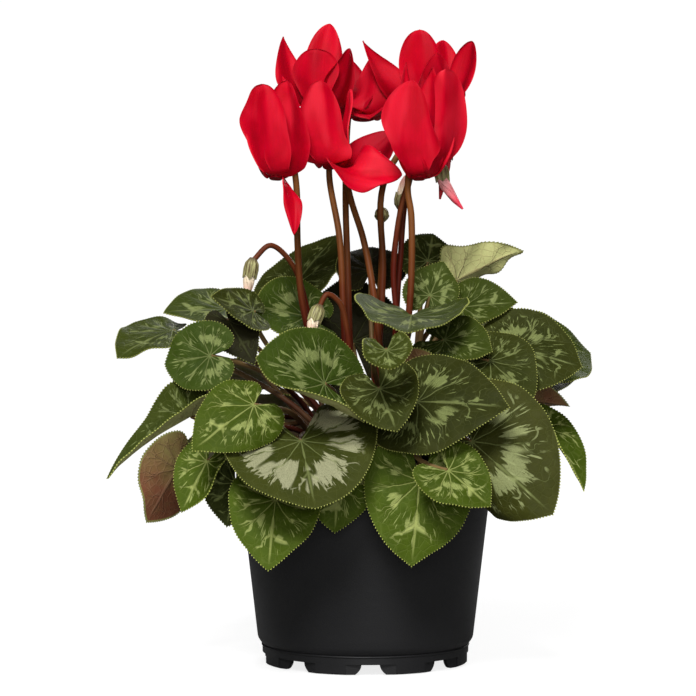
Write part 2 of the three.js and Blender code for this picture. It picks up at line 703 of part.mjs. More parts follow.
// The leaves: where the stalk joins, the tip, the way the leaf looks, its width over its length, half
// the angle of its cleft, the cup of its two sides, its fold, its curl, how far the rear lobes are
// drawn in, its teeth, its tone and how wide its tip is. The list runs from the front inwards, and then
// round the back.
const leaf = (at, tip, face, wide, cleft, cup, fold, curl, back, teeth, tone, point) => ({
  at: vec(...at), tip: vec(...tip), face, wide, cleft, cup, fold, curl, back, teeth,
  tone: tone ?? "mature", point: point ?? TIP_WIDTH, phase: at[0] + at[2],
});

const LEAVES = [
  [leaf([-31, -84, 116], [-24, -110, 87], [5, 36], 1.8, 28, [0.1, 0], 0, 0.3, -0.05, 14)],
  [leaf([24, -78, 134], [67, -96, 132], [8, 36], 1.18, 16, [0.1, -0.5], 0, 0.3, 0.05, 12)],
  [leaf([25, -82, 97], [21, -86, 56], [3, 15], 1.25, 18, [-0.2, -0.2], 0, 0.3, 0.05, 12, "young")],
  [leaf([-43, -74, 88], [-46, -84, 56], [-5, 20], 1.32, 16, [0.2, 0.2], 0, 0.4, 0.05, 10, "young")],
  [leaf([38, -96, 103], [57, -104, 87], [8, 35], 1.3, 28, [0.1, 0.1], 0, 0.2, 0.05, 10, "young")],
  [leaf([-20, -76, 143], [-52, -90, 156], [-5, 32], 1.45, 16, [1.5, 0.1], 0, 0.2, 0.05, 12)],
  [leaf([47, -70, 112], [84, -86, 79], [12, 2], 1.3, 20, [-0.1, -2.2], 0, 0.3, 0.05, 12, "mature", 0.7)],
  [leaf([-53, -84, 133], [-82, -96, 112], [-15, 32], 1.15, 30, [-1.4, 0], 0, 0.3, 0.35, 12, "young")],
  [leaf([-75, -56, 155], [-97, -50, 151], [-18, 22], 1.75, 14, [0.2, 0.2], 0, 0.2, 0.4, 10)],
  [leaf([22, -40, 174], [20, -72, 167], [0, 56], 1.8, 16, [0.45, 0.5], 0, 0.1, 0.05, 12)],
  [
    leaf([9, -112, 160], [11, -121, 152], [0, 35], 2, 30, [0.5, 0.5], 0, 0.1, 0.05, 6, "young"),
    leaf([27, -54, 150], [23, -60, 159], [170, 20], 1.4, 16, [0.2, 0.2], 0, 0.2, 0.05, 6),
  ],
  [leaf([3, -86, 141], [11, -104, 122], [-5, 25], 1.35, 16, [0.4, 0.5], 0, 0.2, 0.05, 12)],
  [leaf([72, -30, 157], [106, -36, 148], [20, 40], 1.5, 16, [0.2, -0.2], 0, 0.3, 0.15, 12)],
  [
    leaf([-84, -60, 129], [-122, -84, 101], [-40, 35], 0.72, 16, [0.3, 0.2], 0.8, 0.5, 0.05, 10, "mature", 0.2),
  ],
  [leaf([-30, -2, 172], [-57, -16, 178], [-5, 40], 1.5, 16, [0.2, 0.2], 0, 0.2, 0.05, 10)],
  [leaf([60, -50, 152], [79, -66, 134], [15, 30], 1.35, 16, [0.2, 0.2], 0, 0.2, 0.05, 8)],
  [
    leaf([38, -48, 162], [61, -62, 157], [10, 42], 1.3, 16, [0.2, 0.2], 0, 0.2, 0.05, 8),
    leaf([48, -4, 177], [75, -14, 180], [10, 42], 1.2, 16, [0.2, 0.2], 0, 0.2, 0.05, 8),
  ],
  [leaf([-95, -26, 166], [-121, -58, 152], [-30, 42], 1, 16, [0.3, 0.3], 0, 0.4, 0.05, 10)],
  [leaf([-76, -66, 105], [-88, -74, 81], [-20, 10], 1, 16, [1.6, 0.1], 0, 0.2, 0.05, 8, "young")],
  [leaf([88, -20, 119], [107, -32, 88], [60, 10], 0.75, 16, [0.3, 0.3], 0.4, 0.3, 0.05, 8, "young")],
  [leaf([-93, -16, 98], [-108, -30, 72], [-150, 10], 1.15, 16, [0.3, 0.3], 0, 0.2, 0.05, 8)],
  [leaf([-13, -76, 98], [-15, -80, 72], [-3, 20], 1.4, 16, [0.2, 0.2], 0, 0.3, 0.05, 8, "young")],
  [
    leaf([-67, -26, 168], [-54, -36, 147], [5, 20], 0.9, 14, [0.3, 0.3], 0, 0.2, 0.05, 8),
    leaf([-55, -30, 176], [-75, -44, 183], [-10, 40], 1.05, 14, [0.1, 0.1], 0, 0.2, 0.15, 8),
  ],
  [leaf([-70, -12, 173], [-100, -26, 171], [0, 62], 1.2, 16, [0.3, 0.3], 0, 0.3, 0.05, 8)],
  [leaf([-36, 22, 188], [-14, 42, 213], [-40, 45], 1.25, 16, [0.2, 0.2], 0, 0.2, 0.05, 10)],
  [leaf([46, 22, 190], [78, 32, 205], [172, 32], 1.1, 16, [1.2, 0.2], 0.3, 0.3, 0.35, 10, "mature", 0.3)],
  [
    leaf([32, -8, 183], [39, 4, 199], [5, 35], 1.3, 16, [0.2, 0.2], 0, 0.2, 0.05, 8),
    leaf([32, 26, 200], [35, 40, 214], [10, 35], 1.5, 16, [0.2, 0.2], 0, 0.2, 0.05, 8),
  ],
  [leaf([3, 34, 195], [4, 52, 207], [0, 40], 1.7, 16, [0.2, 0.2], 0, 0.2, 0.05, 8)],
  [
    leaf([-63, -56, 100], [-67, -60, 79], [-15, 5], 1.4, 16, [0.2, 0.2], 0, 0.2, 0.05, 8),
    leaf([-66, 34, 112], [-96, 60, 84], [-125, 20], 1.35, 16, [0.2, 0.2], 0, 0.3, 0.05, 8, "young"),
  ],
  [
    leaf([89, 20, 155], [116, 40, 153], [20, 45], 1.5, 16, [0.2, 0.2], 0, 0.3, 0.05, 8),
    leaf([76, -24, 132], [101, -14, 128], [170, 40], 0.9, 16, [0.3, 0.3], 0.4, 0.2, 0.05, 6),
  ],
  [
    leaf([68, 62, 150], [120.5, 94, 150], [50, 50], 1.2, 16, [0.2, 0.2], 0, 0.3, 0.05, 8),
    leaf([66, 22, 114], [94, 42, 94], [80, 25], 1.4, 16, [0.2, 0.2], 0, 0.3, 0.05, 8, "young"),
  ],
  [
    leaf([-52, 40, 140], [-92, 56, 128], [-130, 40], 1.45, 16, [0.2, 0.2], 0, 0.3, 0.05, 8),
    leaf([-30, 62, 120], [-48, 104, 92], [-160, 30], 1.45, 16, [0.2, 0.2], 0, 0.3, 0.05, 8),
  ],
  [
    leaf([14, 66, 126], [20, 108, 100], [172, 32], 1.5, 16, [0.2, 0.2], 0, 0.3, 0.05, 8),
    leaf([44, 54, 108], [78, 90, 82], [140, 25], 1.35, 16, [0.2, 0.2], 0, 0.3, 0.05, 8),
    leaf([-6, 38, 152], [-10, 52, 186], [0, 25], 1.5, 16, [0.2, 0.2], 0, 0.3, 0.05, 8),
  ],
];

// Assembly
const plant = new THREE.Group();
const stems = [
  ...FLOWERS.map((flower) => ({ kind: "flower", flower, goal: vec(...flower.via[1]) })),
  ...BUDS.map((bud) => ({ kind: "bud", bud, goal: vec(...bud.via[1]) })),
  { kind: "pod", goal: vec(...POD.via[1]) },
  ...LEAVES.map((leaves) => ({ kind: "leaf", leaves, goal: leaves[0].at })),
];
shareSockets(stems);

const add = (name, solid, look) => {
  plant.add(meshOf(name, solid, look));
  stand(name, solid);
};

add("pot", buildPot(), "pot");
add("soil", buildSoil(), "soil");
add("tuber", stems.reduce((body, stem) => body.subtract(socketHole(stem.socket)), tuberBody(0)), "tuber");
for (const flower of FLOWERS) add(`flower_${flower.name}`, corolla(flower), "petal");
for (const bud of BUDS) add(`bud_${bud.name}`, budCone(bud), bud.look);
const swings = HOOK_SWINGS.flatMap((swing) => ASIDES.map((aside) => ({ swing, aside })));
for (const { flower, socket: base } of stems.filter((stem) => stem.kind === "flower")) {
  const name = `stalk_${flower.name}`;
  add(name, firstClear(name, swings, (choice, grow) => flowerStalk(flower, base, choice, grow)), "stalk");
}
for (const { bud, socket: base } of stems.filter((stem) => stem.kind === "bud")) {
  const name = `bud_stalk_${bud.name}`;
  add(name, firstClear(name, ASIDES, (choice, grow) => budStalk(bud, base, choice, grow)), "stalk");
}
const { socket: podBase } = stems.find((stem) => stem.kind === "pod");
add("seed_pod", firstClear("seed_pod", ASIDES, (choice, grow) => buildPod(podBase, choice, grow)), "pod");
stems.filter((stem) => stem.kind === "leaf").forEach(({ leaves, socket: base }, i) => {
  const solid = joined(leaves.map((one) => placeLeaf(one, base)));
  add(`leaf_${String(i + 1).padStart(2, "0")}`, solid, leaves[0].tone);
});

export default plant;
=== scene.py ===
# Potted cyclamen: the finish of a red florist's cyclamen in its black nursery pot.
# Sizes are millimetres, and points turn into metres as each mesh is made. The viewer stands towards -Y.
import math

import bpy
import numpy as np
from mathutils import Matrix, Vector
from mathutils.kdtree import KDTree


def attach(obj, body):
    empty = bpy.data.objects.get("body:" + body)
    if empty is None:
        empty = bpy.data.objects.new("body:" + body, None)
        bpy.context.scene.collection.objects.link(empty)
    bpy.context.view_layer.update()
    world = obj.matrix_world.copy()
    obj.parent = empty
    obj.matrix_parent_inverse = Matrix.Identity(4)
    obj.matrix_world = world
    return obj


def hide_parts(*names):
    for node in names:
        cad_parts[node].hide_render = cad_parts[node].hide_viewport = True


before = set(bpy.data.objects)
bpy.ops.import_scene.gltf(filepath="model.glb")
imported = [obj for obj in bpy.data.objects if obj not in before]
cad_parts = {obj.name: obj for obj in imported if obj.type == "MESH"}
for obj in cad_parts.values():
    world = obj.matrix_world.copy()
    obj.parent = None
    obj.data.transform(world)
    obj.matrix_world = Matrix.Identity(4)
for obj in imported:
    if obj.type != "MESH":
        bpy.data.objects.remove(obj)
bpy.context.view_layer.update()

MM = 0.001

# Pot, soil and tuber
POT_HEIGHT = 102
POT_RIM_RADIUS = 65
POT_BODY_TOP_RADIUS = 63
POT_BODY_BOTTOM_RADIUS = 54
POT_FOOT_RADIUS = 51.6
POT_FOOT_HEIGHT = 9
POT_FOOT_WIDTH = 4
POT_FLOOR_HEIGHT = 5
POT_RIM_BAND = 11
POT_WALL = 1.4
POT_FLOOR_TOP = POT_FLOOR_HEIGHT + POT_WALL
POT_SEGMENTS = 160
NOTCHES = 8
NOTCH_TURN = 2.6
NOTCH_TOP_WIDTH = 9
NOTCH_BOTTOM_WIDTH = 15
NOTCH_HEIGHT = 5
NOTCH_FLARE = 2.2
RECESS_WIDTH = 24.5
RECESS_DEPTH = 0.5
DRAIN_HOLES = 4
DRAIN_RADIUS = 4.5
DRAIN_RING = 38
DRAIN_SIDES = 28
NEAR_AXIS = 0.01
SOIL_TOP = 89
SOIL_EDGE_TOP = 91
FIT_GAP = 0.3
TUBER_CENTRE = 89
TUBER_RADIUS = 28
TUBER_HALF_HEIGHT = 12
CROWN_RADIUS = 24.5
SOIL_INSET = POT_WALL + FIT_GAP + 0.2
SOIL_RADIUS = POT_BODY_TOP_RADIUS - SOIL_INSET
SOIL_PIT = TUBER_RADIUS + FIT_GAP
SOIL_CRUMBS = 520
CRUMB_SHAPE = ((1, 0, 0), (-1, 0, 0), (0, 1, 0), (0, -1, 0), (0, 0, 1), (0, 0, -1))
CRUMB_FACES = ((0, 2, 4), (2, 1, 4), (1, 3, 4), (3, 0, 4), (2, 0, 5), (1, 2, 5), (3, 1, 5), (0, 3, 5))
SOCKET_LEAN = 42
SOCKET_DEPTH = 3
SOCKET_RINGS = ((4, 4), (9.5, 9), (15, 14), (20, 19))

# Leaves
CAD_BLADE_THICKNESS = 0.7
BLADE_THICKNESS = 0.6
EDGE_WAVE = 0.02
BEND_WIDTH = 0.7
NEARLY_FLAT = 1e-4
TIP_WIDTH = 0.5
OUTLINE_SWING = 0.045
SWING_CIRCLE = 30
SWING_WAVE = 34
HALF_OUTLINE_STEPS = 800
TOOTH_PITCH = 1.5
TOOTH_OFFSETS = (0.46, 0.07, -0.32, 0.07)
VALLEY_RING = 0.987
LOBE_ROUNDING = 0.42
LOBE_CUT = 0.45
RINGS = (0.1, 0.2, 0.3, 0.4, 0.5, 0.6, 0.7, 0.79, 0.87, 0.93, 0.972)
VEIN_SPACING = 0.62
VEIN_SWEEP = 0.2
LEAST_SWEEP = 0.35
VEIN_WANDER = 0.9
VEIN_WIDTH = 0.56
VEIN_THINNING = 0.34
VEIN_NET_SCALE = 0.24
FORK_START = 0.5
FORK_SPREAD = 0.42
VEIN_GROOVE = 0.42
VEIN_GROOVE_WIDTH = 1.7
PUCKER = 0.42
PUCKER_WAVE = 15
EDGE_PUCKER = 1.2
LEAFSTALK_RADII = (1.6, 1.1)
LEAFSTALK_LEAVES = 0.4
LEAFSTALK_ARRIVES = 0.35
LEAFSTALK_FIRST_BOW = 0.7
LEAFSTALK_INTO = (0.8, 0.6)
STALK_END_DEPTH = 0.42
CAD_LEAFSTALK_STEPS = 4
CAD_LEAFSTALK_SIDES = 4
LEAFSTALK_STEPS = 22
LEAFSTALK_SIDES = 12

# Flowers and buds
PETAL_THICKNESS = 0.6
PETAL_FOOT = 0.04
PETAL_SINK = 1.5
PETAL_RISE = 6
PETAL_SPREAD = 2.5
BELLY_AT = 0.28
CAMBER = 0.16
RUFFLE = 0.7
EDGE_RUFFLE = 1.6
RUFFLE_WAVE = 26
EDGE_CURL = 0.22
EDGE_LEAN = 0.44
ROW_CROWDING = 1.4
CREASE_PLACES = (0.1, 0.35)
CREASE_DEPTHS = (0.15, 0.5)
CREASE_SOFTNESS = 0.02
CREASE_DROP = 0.14
PETALS = 5
THROAT_RADIUS = 3.2
TUBE_RADII = (THROAT_RADIUS, THROAT_RADIUS + 0.6, 4.2)
TUBE_LENGTH = 6
TUBE_STEPS = 9
TUBE_SIDES = 25
FLOWER_STALK_RADII = (1.9, 1.4)
BUD_STALK_RADII = (1.6, 1.3)
STEM_FOOT = (FIT_GAP - SOCKET_DEPTH, 2, 9)
HOOK = ((10.5, -6), (9, 6), (7, 14.5))
HOOK_END = (3, 3.6)
STALK_INTO_CALYX = 0.5
CAD_STALK_SIDES = 5
CAD_FLOWER_STALK_STEPS = 14
CAD_BUD_STALK_STEPS = 10
STALK_STEPS = 90
STALK_SIDES = 14
STALK_BROWNS = (0.35, 0.4, 0.75, 0.6, 0.55, 0.3)
BUD_STALK_BROWN = -0.2
SEPALS = 5
SEPAL_START = 0.55
SEPAL_LENGTH = 0.24
CALYX_LENGTH = 6
CALYX_WALL = 0.35
CALYX_SIDES = 60
CALYX_STEPS = 16
FLOWER_CALYX = (1.7, 3.6, 4.4, 4.7)
BUD_CALYX = (1.5, 3.4, 3.8, 3.5)
POD_CALYX = (1.4, 3.0, 3.9)
POD_CALYX_DROPS = (4.2, 1.2)
POD_STEPS = 22
POD_SIDES = 32
BUD_RADII = (2.5, 2.9, 2.8, 2.3, 1.7, 0.5)
BUD_WINDING = 2.2
BUD_STEPS = 34
BUD_SIDES = 40
PETAL_ROWS = 44
PETAL_COLUMNS = 25

# The choices that a stem's place was picked from, and the rings of its solid that show which it was
LEAFSTALK_MARKS = slice(2, 4)
FLOWER_STALK_MARKS = slice(3, 11, 3)
BUD_STALK_MARKS = slice(3, 7)
NUDGE_STEP = 3
MOST_NUDGES = (2, 11, 3)
SIDE_BOWS = (0, 6, -6, 12, -12, 18, -18, 26, -26)
RISE_BOWS = (0, 8, -8, 16, -14, 24)
HOOK_SWINGS = (0, 6, -6, 12, -12, 18, -18, 24, -24, 32, -32)
ASIDE_STEP = 3
MOST_ASIDES = 3

# Stage, in metres and watts. Each light: its name, its place, where it points, its size and its power.
LIGHTS = (
    ("key", (-0.3, -1.55, 1.6), (0, 0, 0.18), 0.75, 52),
    ("fill", (0.1, -2.0, 0.5), (0, 0, 0.15), 0.9, 14),
    ("back", (0.6, 1.9, 1.1), (0, 0, 0.15), 1.4, 32),
)
FLOOR_HALF = 6.0
FLOOR_DROP = -0.0004
CAMERA_PLACE = (-0.00875, -1.4, 0.209)
CAMERA_DIP = 2.14
SENSOR = 36
FOCAL_PIXELS = 2800
PHOTO_PIXELS = 696


# Vectors
def vec(x, y, z):
    return np.array((x, y, z), float)


def unit(v):
    return v / np.linalg.norm(v, axis=-1, keepdims=True)


def square_to(v, direction):
    """The part of v that is square to a direction, at length 1."""
    return unit(v - np.sum(v * direction, axis=-1, keepdims=True) * direction)


def mix(a, b, t):
    return a + (b - a) * t


def smoothstep(x, low, high):
    t = np.clip((x - low) / (high - low), 0, 1)
    return t * t * (3 - 2 * t)


def facing(turn, up):
    """The direction that a surface faces: 0 degrees round is towards the viewer, 90 is to the right."""
    a, e = math.radians(turn), math.radians(up)
    return vec(math.sin(a) * math.cos(e), -math.cos(a) * math.cos(e), math.sin(e))


def bezier(points, t):
    a, b, c, d = points
    t = np.asarray(t, float)[..., None]
    return (1 - t) ** 3 * a + 3 * (1 - t) ** 2 * t * b + 3 * (1 - t) * t * t * c + t**3 * d


def spline(points, steps):
    """Points spread along a smooth centripetal curve through the given ones."""
    points = [np.asarray(p, float) for p in points]
    ends = [2 * points[0] - points[1], *points, 2 * points[-1] - points[-2]]
    line = []
    for step in range(steps + 1):
        place = (len(points) - 1) * step / steps
        i = min(int(place), len(points) - 2)
        p0, p1, p2, p3 = ends[i : i + 4]
        d0, d1, d2 = (np.linalg.norm(b - a) ** 0.5 for a, b in ((p0, p1), (p1, p2), (p2, p3)))
        m1 = ((p1 - p0) / d0 - (p2 - p0) / (d0 + d1) + (p2 - p1) / d1) * d1
        m2 = ((p2 - p1) / d1 - (p3 - p1) / (d1 + d2) + (p3 - p2) / d2) * d1
        t = place - i
        curve = p1 + m1 * t + (3 * (p2 - p1) - 2 * m1 - m2) * t**2 + (2 * (p1 - p2) + m1 + m2) * t**3
        line.append(curve)
    return np.array(line)


def ripple(x, y, wavelength, rng):
    """A smooth seeded unevenness between -1 and 1 over a surface."""
    total = 0
    for _ in range(5):
        turn, phase = rng.uniform(0, 2 * math.pi, 2)
        rate = 2 * math.pi / (wavelength * rng.uniform(0.7, 1.5))
        total = total + np.sin(rate * (x * math.cos(turn) + y * math.sin(turn)) + phase)
    return total / 5


def turns_round(sides):
    return 2 * math.pi * np.arange(sides) / sides


def distances_along(line):
    steps = np.linalg.norm(np.diff(line, axis=0), axis=1)
    return np.concatenate(([0], np.cumsum(steps)))


# Surfaces
def place_mesh(name, points, faces):
    """A new object. The points of its mesh are metres."""
    mesh = bpy.data.meshes.new(name)
    mesh.from_pydata(points, [], faces)
    mesh.update()
    thing = bpy.data.objects.new(name, mesh)
    bpy.context.scene.collection.objects.link(thing)
    return thing


def shade(mesh, materials, sharp):
    """Materials and smooth shading, apart from edges that turn by more than an angle."""
    for material in materials:
        mesh.materials.append(material)
    mesh.polygons.foreach_set("use_smooth", np.ones(len(mesh.polygons), bool))
    mesh.set_sharp_from_angle(angle=math.radians(sharp))


class Shell:
    """The surfaces of one piece: points, faces, each face's material, and what the materials read.

    Each point carries a place on its surface, a tint and a seed.
    """

    def __init__(self):
        self.points, self.faces, self.looks = [], [], []
        self.places, self.tints, self.seeds = [], [], []
        self.count = 0

    def add(self, points, faces, look, places, tint=(0, 0, 0), seed=0.0):
        points = np.asarray(points, float).reshape(-1, 3)
        self.points.append(points)
        self.faces.extend([tuple(int(k) + self.count for k in face) for face in faces])
        self.looks.extend([look] * len(faces) if isinstance(look, int) else look)
        self.places.append(np.asarray(places, float).reshape(-1, 3))
        self.tints.append(np.broadcast_to(np.asarray(tint, float), points.shape))
        self.seeds.append(np.full(len(points), float(seed)))
        self.count += len(points)

    def piece(self, name, materials, node, sharp=50):
        """Makes the piece, which stands for one of the solids."""
        thing = place_mesh(name, (np.concatenate(self.points) * MM).tolist(), self.faces)
        mesh = thing.data
        for label, values in (("place", self.places), ("tint", self.tints)):
            layer = mesh.attributes.new(label, "FLOAT_VECTOR", "POINT")
            layer.data.foreach_set("vector", np.concatenate(values).astype(np.float32).ravel())
        layer = mesh.attributes.new("seed", "FLOAT", "POINT")
        layer.data.foreach_set("value", np.concatenate(self.seeds).astype(np.float32))
        mesh.polygons.foreach_set("material_index", np.array(self.looks, np.int32))
        mesh.update()
        shade(mesh, materials, sharp)
        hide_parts(node)
        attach(thing, "root")


def grid_faces(rows, columns, around=False):
    """Four-sided faces over a grid of points that is stored row by row."""
    faces = []
    wide = columns if around else columns - 1
    for i in range(rows - 1):
        for j in range(wide):
            k = (j + 1) % columns
            faces.append((i * columns + j, i * columns + k, (i + 1) * columns + k, (i + 1) * columns + j))
    return faces


def closed_faces(rows, sides):
    """Faces over rings of points, with both ends closed."""
    first, last = range(sides), range((rows - 1) * sides, rows * sides)
    return [*grid_faces(rows, sides, around=True), tuple(reversed(first)), tuple(last)]


def sheet(shell, points, normals, faces, rim, thickness, looks, places, tint, seed):
    """A thin sheet with an upper face, an under face and a closed rim."""
    count = len(points)
    both = np.concatenate((points + normals * thickness / 2, points - normals * thickness / 2))
    under = [tuple(reversed([k + count for k in face])) for face in faces]
    edge = [(a, a + count, b + count, b) for a, b in zip(rim, rim[1:] + rim[:1])]
    face_looks = [looks[0]] * len(faces) + [looks[1]] * len(under) + [looks[0]] * len(edge)
    shell.add(both, [*faces, *under, *edge], face_looks, np.concatenate((places, places)), tint, seed)


def ring_frames(line):
    """Directions square to a line at each of its points, carried along without a twist."""
    tangents = np.empty_like(line)
    tangents[1:-1] = line[2:] - line[:-2]
    tangents[0], tangents[-1] = line[1] - line[0], line[-1] - line[-2]
    tangents = unit(tangents)
    normal = vec(0, -1, 0) if abs(tangents[0][1]) < 0.9 else vec(1, 0, 0)
    normals = []
    for tangent in tangents:
        normal = square_to(normal, tangent)
        normals.append(normal)
    normals = np.array(normals)
    return normals, np.cross(tangents, normals)


def radius_at(radii, t):
    return np.interp(np.asarray(t) * (len(radii) - 1), range(len(radii)), radii)


def rod_points(line, radii, sides, bulge=None):
    """Rings of points round a line. A bulge gives each ring's radius a factor that changes round it."""
    normals, across = ring_frames(line)
    turns = turns_round(sides)
    radius = radius_at(radii, np.linspace(0, 1, len(line)))[:, None] * np.ones(sides)
    if bulge is not None:
        radius = radius * bulge
    around = normals[:, None] * np.cos(turns)[:, None] + across[:, None] * np.sin(turns)[:, None]
    return line[:, None] + around * radius[..., None]


def rod(shell, line, radii, sides, look, tint=(0, 0, 0), seed=0.0, bulge=None):
    """A closed rod. Its points know how far along it they are, and where round it."""
    far = distances_along(line)
    folded = np.abs(((turns_round(sides) / math.pi + 1) % 2) - 1) * sides / 4
    places = np.stack(np.broadcast_arrays(far[:, None], folded, (far / far[-1])[:, None]), -1)
    points = rod_points(line, radii, sides, bulge)
    shell.add(points, closed_faces(len(line), sides), look, places, tint, seed)


def lathe(profile, segments):
    """Rings of points where a profile of (radius, height) pairs is turned about the Z axis."""
    turns = turns_round(segments)
    radius, height = np.asarray(profile, float).T[..., None]
    return np.stack((radius * np.sin(turns), -radius * np.cos(turns), height * np.ones(segments)), -1)


# Shader wiring
class Reading:
    """A value that changes over a surface. A sum, difference or product of readings adds a node."""

    def __init__(self, wiring, socket):
        self.wiring, self.socket = wiring, socket

    def __add__(self, other):
        return self.wiring.math("ADD", self, other)

    def __radd__(self, other):
        return self.wiring.math("ADD", other, self)

    def __sub__(self, other):
        return self.wiring.math("SUBTRACT", self, other)

    def __rsub__(self, other):
        return self.wiring.math("SUBTRACT", other, self)

    def __mul__(self, other):
        return self.wiring.math("MULTIPLY", self, other)


class Wiring:
    """Adds shader nodes to a tree. What goes into a socket is a reading, a screen colour or a plain value."""

    def __init__(self, tree):
        self.tree = tree

    def put(self, value, socket):
        if isinstance(value, Reading):
            self.tree.links.new(value.socket, socket)
        else:
            socket.default_value = colour(value) if isinstance(value, str) else value

    def node(self, kind, inputs=(), **settings):
        made = self.tree.nodes.new(kind)
        for name, value in settings.items():
            setattr(made, name, value)
        for name, value in dict(inputs).items():
            self.put(value, made.inputs[name])
        return made

    def read(self, made, output=0):
        return Reading(self, made.outputs[output])

    def math(self, operation, *values, clamp=False):
        made = self.node("ShaderNodeMath", operation=operation, use_clamp=clamp)
        for value, socket in zip(values, made.inputs):
            self.put(value, socket)
        return self.read(made)

    def step(self, value, low, high):
        """A smooth step from 0 at low to 1 at high, or down again where low is the larger."""
        inputs = {"Value": value, "From Min": low, "From Max": high}
        return self.read(self.node("ShaderNodeMapRange", inputs, interpolation_type="SMOOTHSTEP"), "Result")

    def blend(self, factor, a, b):
        made = self.node("ShaderNodeMix", data_type="RGBA")
        for value, socket in ((factor, 0), (a, 6), (b, 7)):
            self.put(value, made.inputs[socket])
        return self.read(made, 2)

    def join(self, x, y, z):
        return self.read(self.node("ShaderNodeCombineXYZ", {"X": x, "Y": y, "Z": z}))

    def split(self, vector):
        made = self.node("ShaderNodeSeparateXYZ", {"Vector": vector})
        return [Reading(self, socket) for socket in made.outputs]

    def noise(self, vector, scale, detail=2.0, roughness=0.5):
        inputs = {"Vector": vector, "Scale": scale, "Detail": detail, "Roughness": roughness}
        return self.read(self.node("ShaderNodeTexNoise", inputs), "Fac")

    def attribute(self, name, output="Vector"):
        return self.read(self.node("ShaderNodeAttribute", attribute_name=name), output)

    def spot(self):
        return self.read(self.node("ShaderNodeTexCoord"), "Object")

    def camera_ray(self):
        return self.read(self.node("ShaderNodeLightPath"), "Is Camera Ray")

    def give(self, **outputs):
        """What a group puts out."""
        result = self.node("NodeGroupOutput")
        for name, value in outputs.items():
            self.put(value, result.inputs[name])

    def group(self, tree, **inputs):
        inputs = {name.replace("_", " "): value for name, value in inputs.items()}
        made = self.node("ShaderNodeGroup", inputs, node_tree=tree)
        return [Reading(self, socket) for socket in made.outputs]


def new_group(name, inputs, outputs):
    """A shader group with named sockets, the wiring inside it, and what it is given. A Place is a vector."""
    tree = bpy.data.node_groups.new(name, "ShaderNodeTree")
    for direction, labels in (("INPUT", inputs), ("OUTPUT", outputs)):
        for label in labels:
            kind = "NodeSocketVector" if label == "Place" else "NodeSocketFloat"
            tree.interface.new_socket(label, in_out=direction, socket_type=kind)
    w = Wiring(tree)
    sockets = w.node("NodeGroupInput").outputs
    return tree, w, [Reading(w, sockets[label]) for label in inputs]


def colour(code):
    """A screen colour such as #3c5a2e, as the linear colour that a shader takes."""
    parts = [int(code[i : i + 2], 16) / 255 for i in (1, 3, 5)]
    linear = [p / 12.92 if p <= 0.04045 else ((p + 0.055) / 1.055) ** 2.4 for p in parts]
    return (*linear, 1.0)


def new_material(name):
    """A material with a Principled shader, and its wiring."""
    material = bpy.data.materials.new(name)
    material.use_nodes = True
    tree = material.node_tree
    tree.nodes.clear()
    w = Wiring(tree)
    shader = w.node("ShaderNodeBsdfPrincipled")
    output = w.node("ShaderNodeOutputMaterial")
    tree.links.new(shader.outputs[0], output.inputs["Surface"])
    return material, w, shader


def plant_material(name):
    """A material that also reads its place on the piece and the piece's seed."""
    material, w, shader = new_material(name)
    return material, w, shader, w.attribute("place"), w.attribute("seed", "Fac")


def dress(w, shader, base, rough, height, depth, shine=0.5):
    """Gives a shader its colour, roughness, shine and fine relief."""
    w.put(base, shader.inputs["Base Color"])
    w.put(rough, shader.inputs["Roughness"])
    shader.inputs["Specular IOR Level"].default_value = shine
    w.put(w.read(w.node("ShaderNodeBump", {"Height": height, "Distance": depth})), shader.inputs["Normal"])


# Leaf veins: how near each spot of a blade is to a main vein, its forks and the fine net between them
def vein_group():
    outputs = ("Veins", "Forks", "Net", "Distance", "Turn")
    tree, w, (place, seed) = new_group("leaf veins", ("Place", "Seed"), outputs)
    x, y, ring = w.split(place)
    reach = w.math("SQRT", x * x + y * y)
    turn = w.math("ARCTAN2", y, x)
    angle = w.math("ABSOLUTE", turn)
    shifted = w.join(x + seed * 37.0, y, seed)
    wander = w.noise(shifted, 0.09) - 0.5
    swept = angle - ring * ring * VEIN_SWEEP + wander * (ring * VEIN_WANDER)
    swept = w.math("MAXIMUM", swept, angle * LEAST_SWEEP)
    gap = w.math("PINGPONG", swept, VEIN_SPACING / 2)
    spread = w.math("MAXIMUM", ring - FORK_START, 0.0) * FORK_SPREAD
    near_main = gap * reach
    near_fork = w.math("ABSOLUTE", gap - spread) * reach
    width = VEIN_WIDTH - ring * VEIN_THINNING
    main = w.step(near_main, width, width * 0.25) * w.step(ring, 0.97, 0.7)
    fork = w.step(near_fork, width * 0.9, width * 0.2) * w.step(ring, 0.98, 0.8)
    cells = w.node(
        "ShaderNodeTexVoronoi",
        {"Vector": shifted, "Scale": VEIN_NET_SCALE, "Randomness": 1.0},
        feature="DISTANCE_TO_EDGE",
    )
    w.give(
        Veins=w.math("MAXIMUM", main, fork * 0.8, clamp=True),
        Forks=w.step(near_fork, 0.75, 0.3),
        Net=w.step(w.read(cells, "Distance"), 0.09, 0.0),
        Distance=near_main,
        Turn=turn,
    )
    return tree


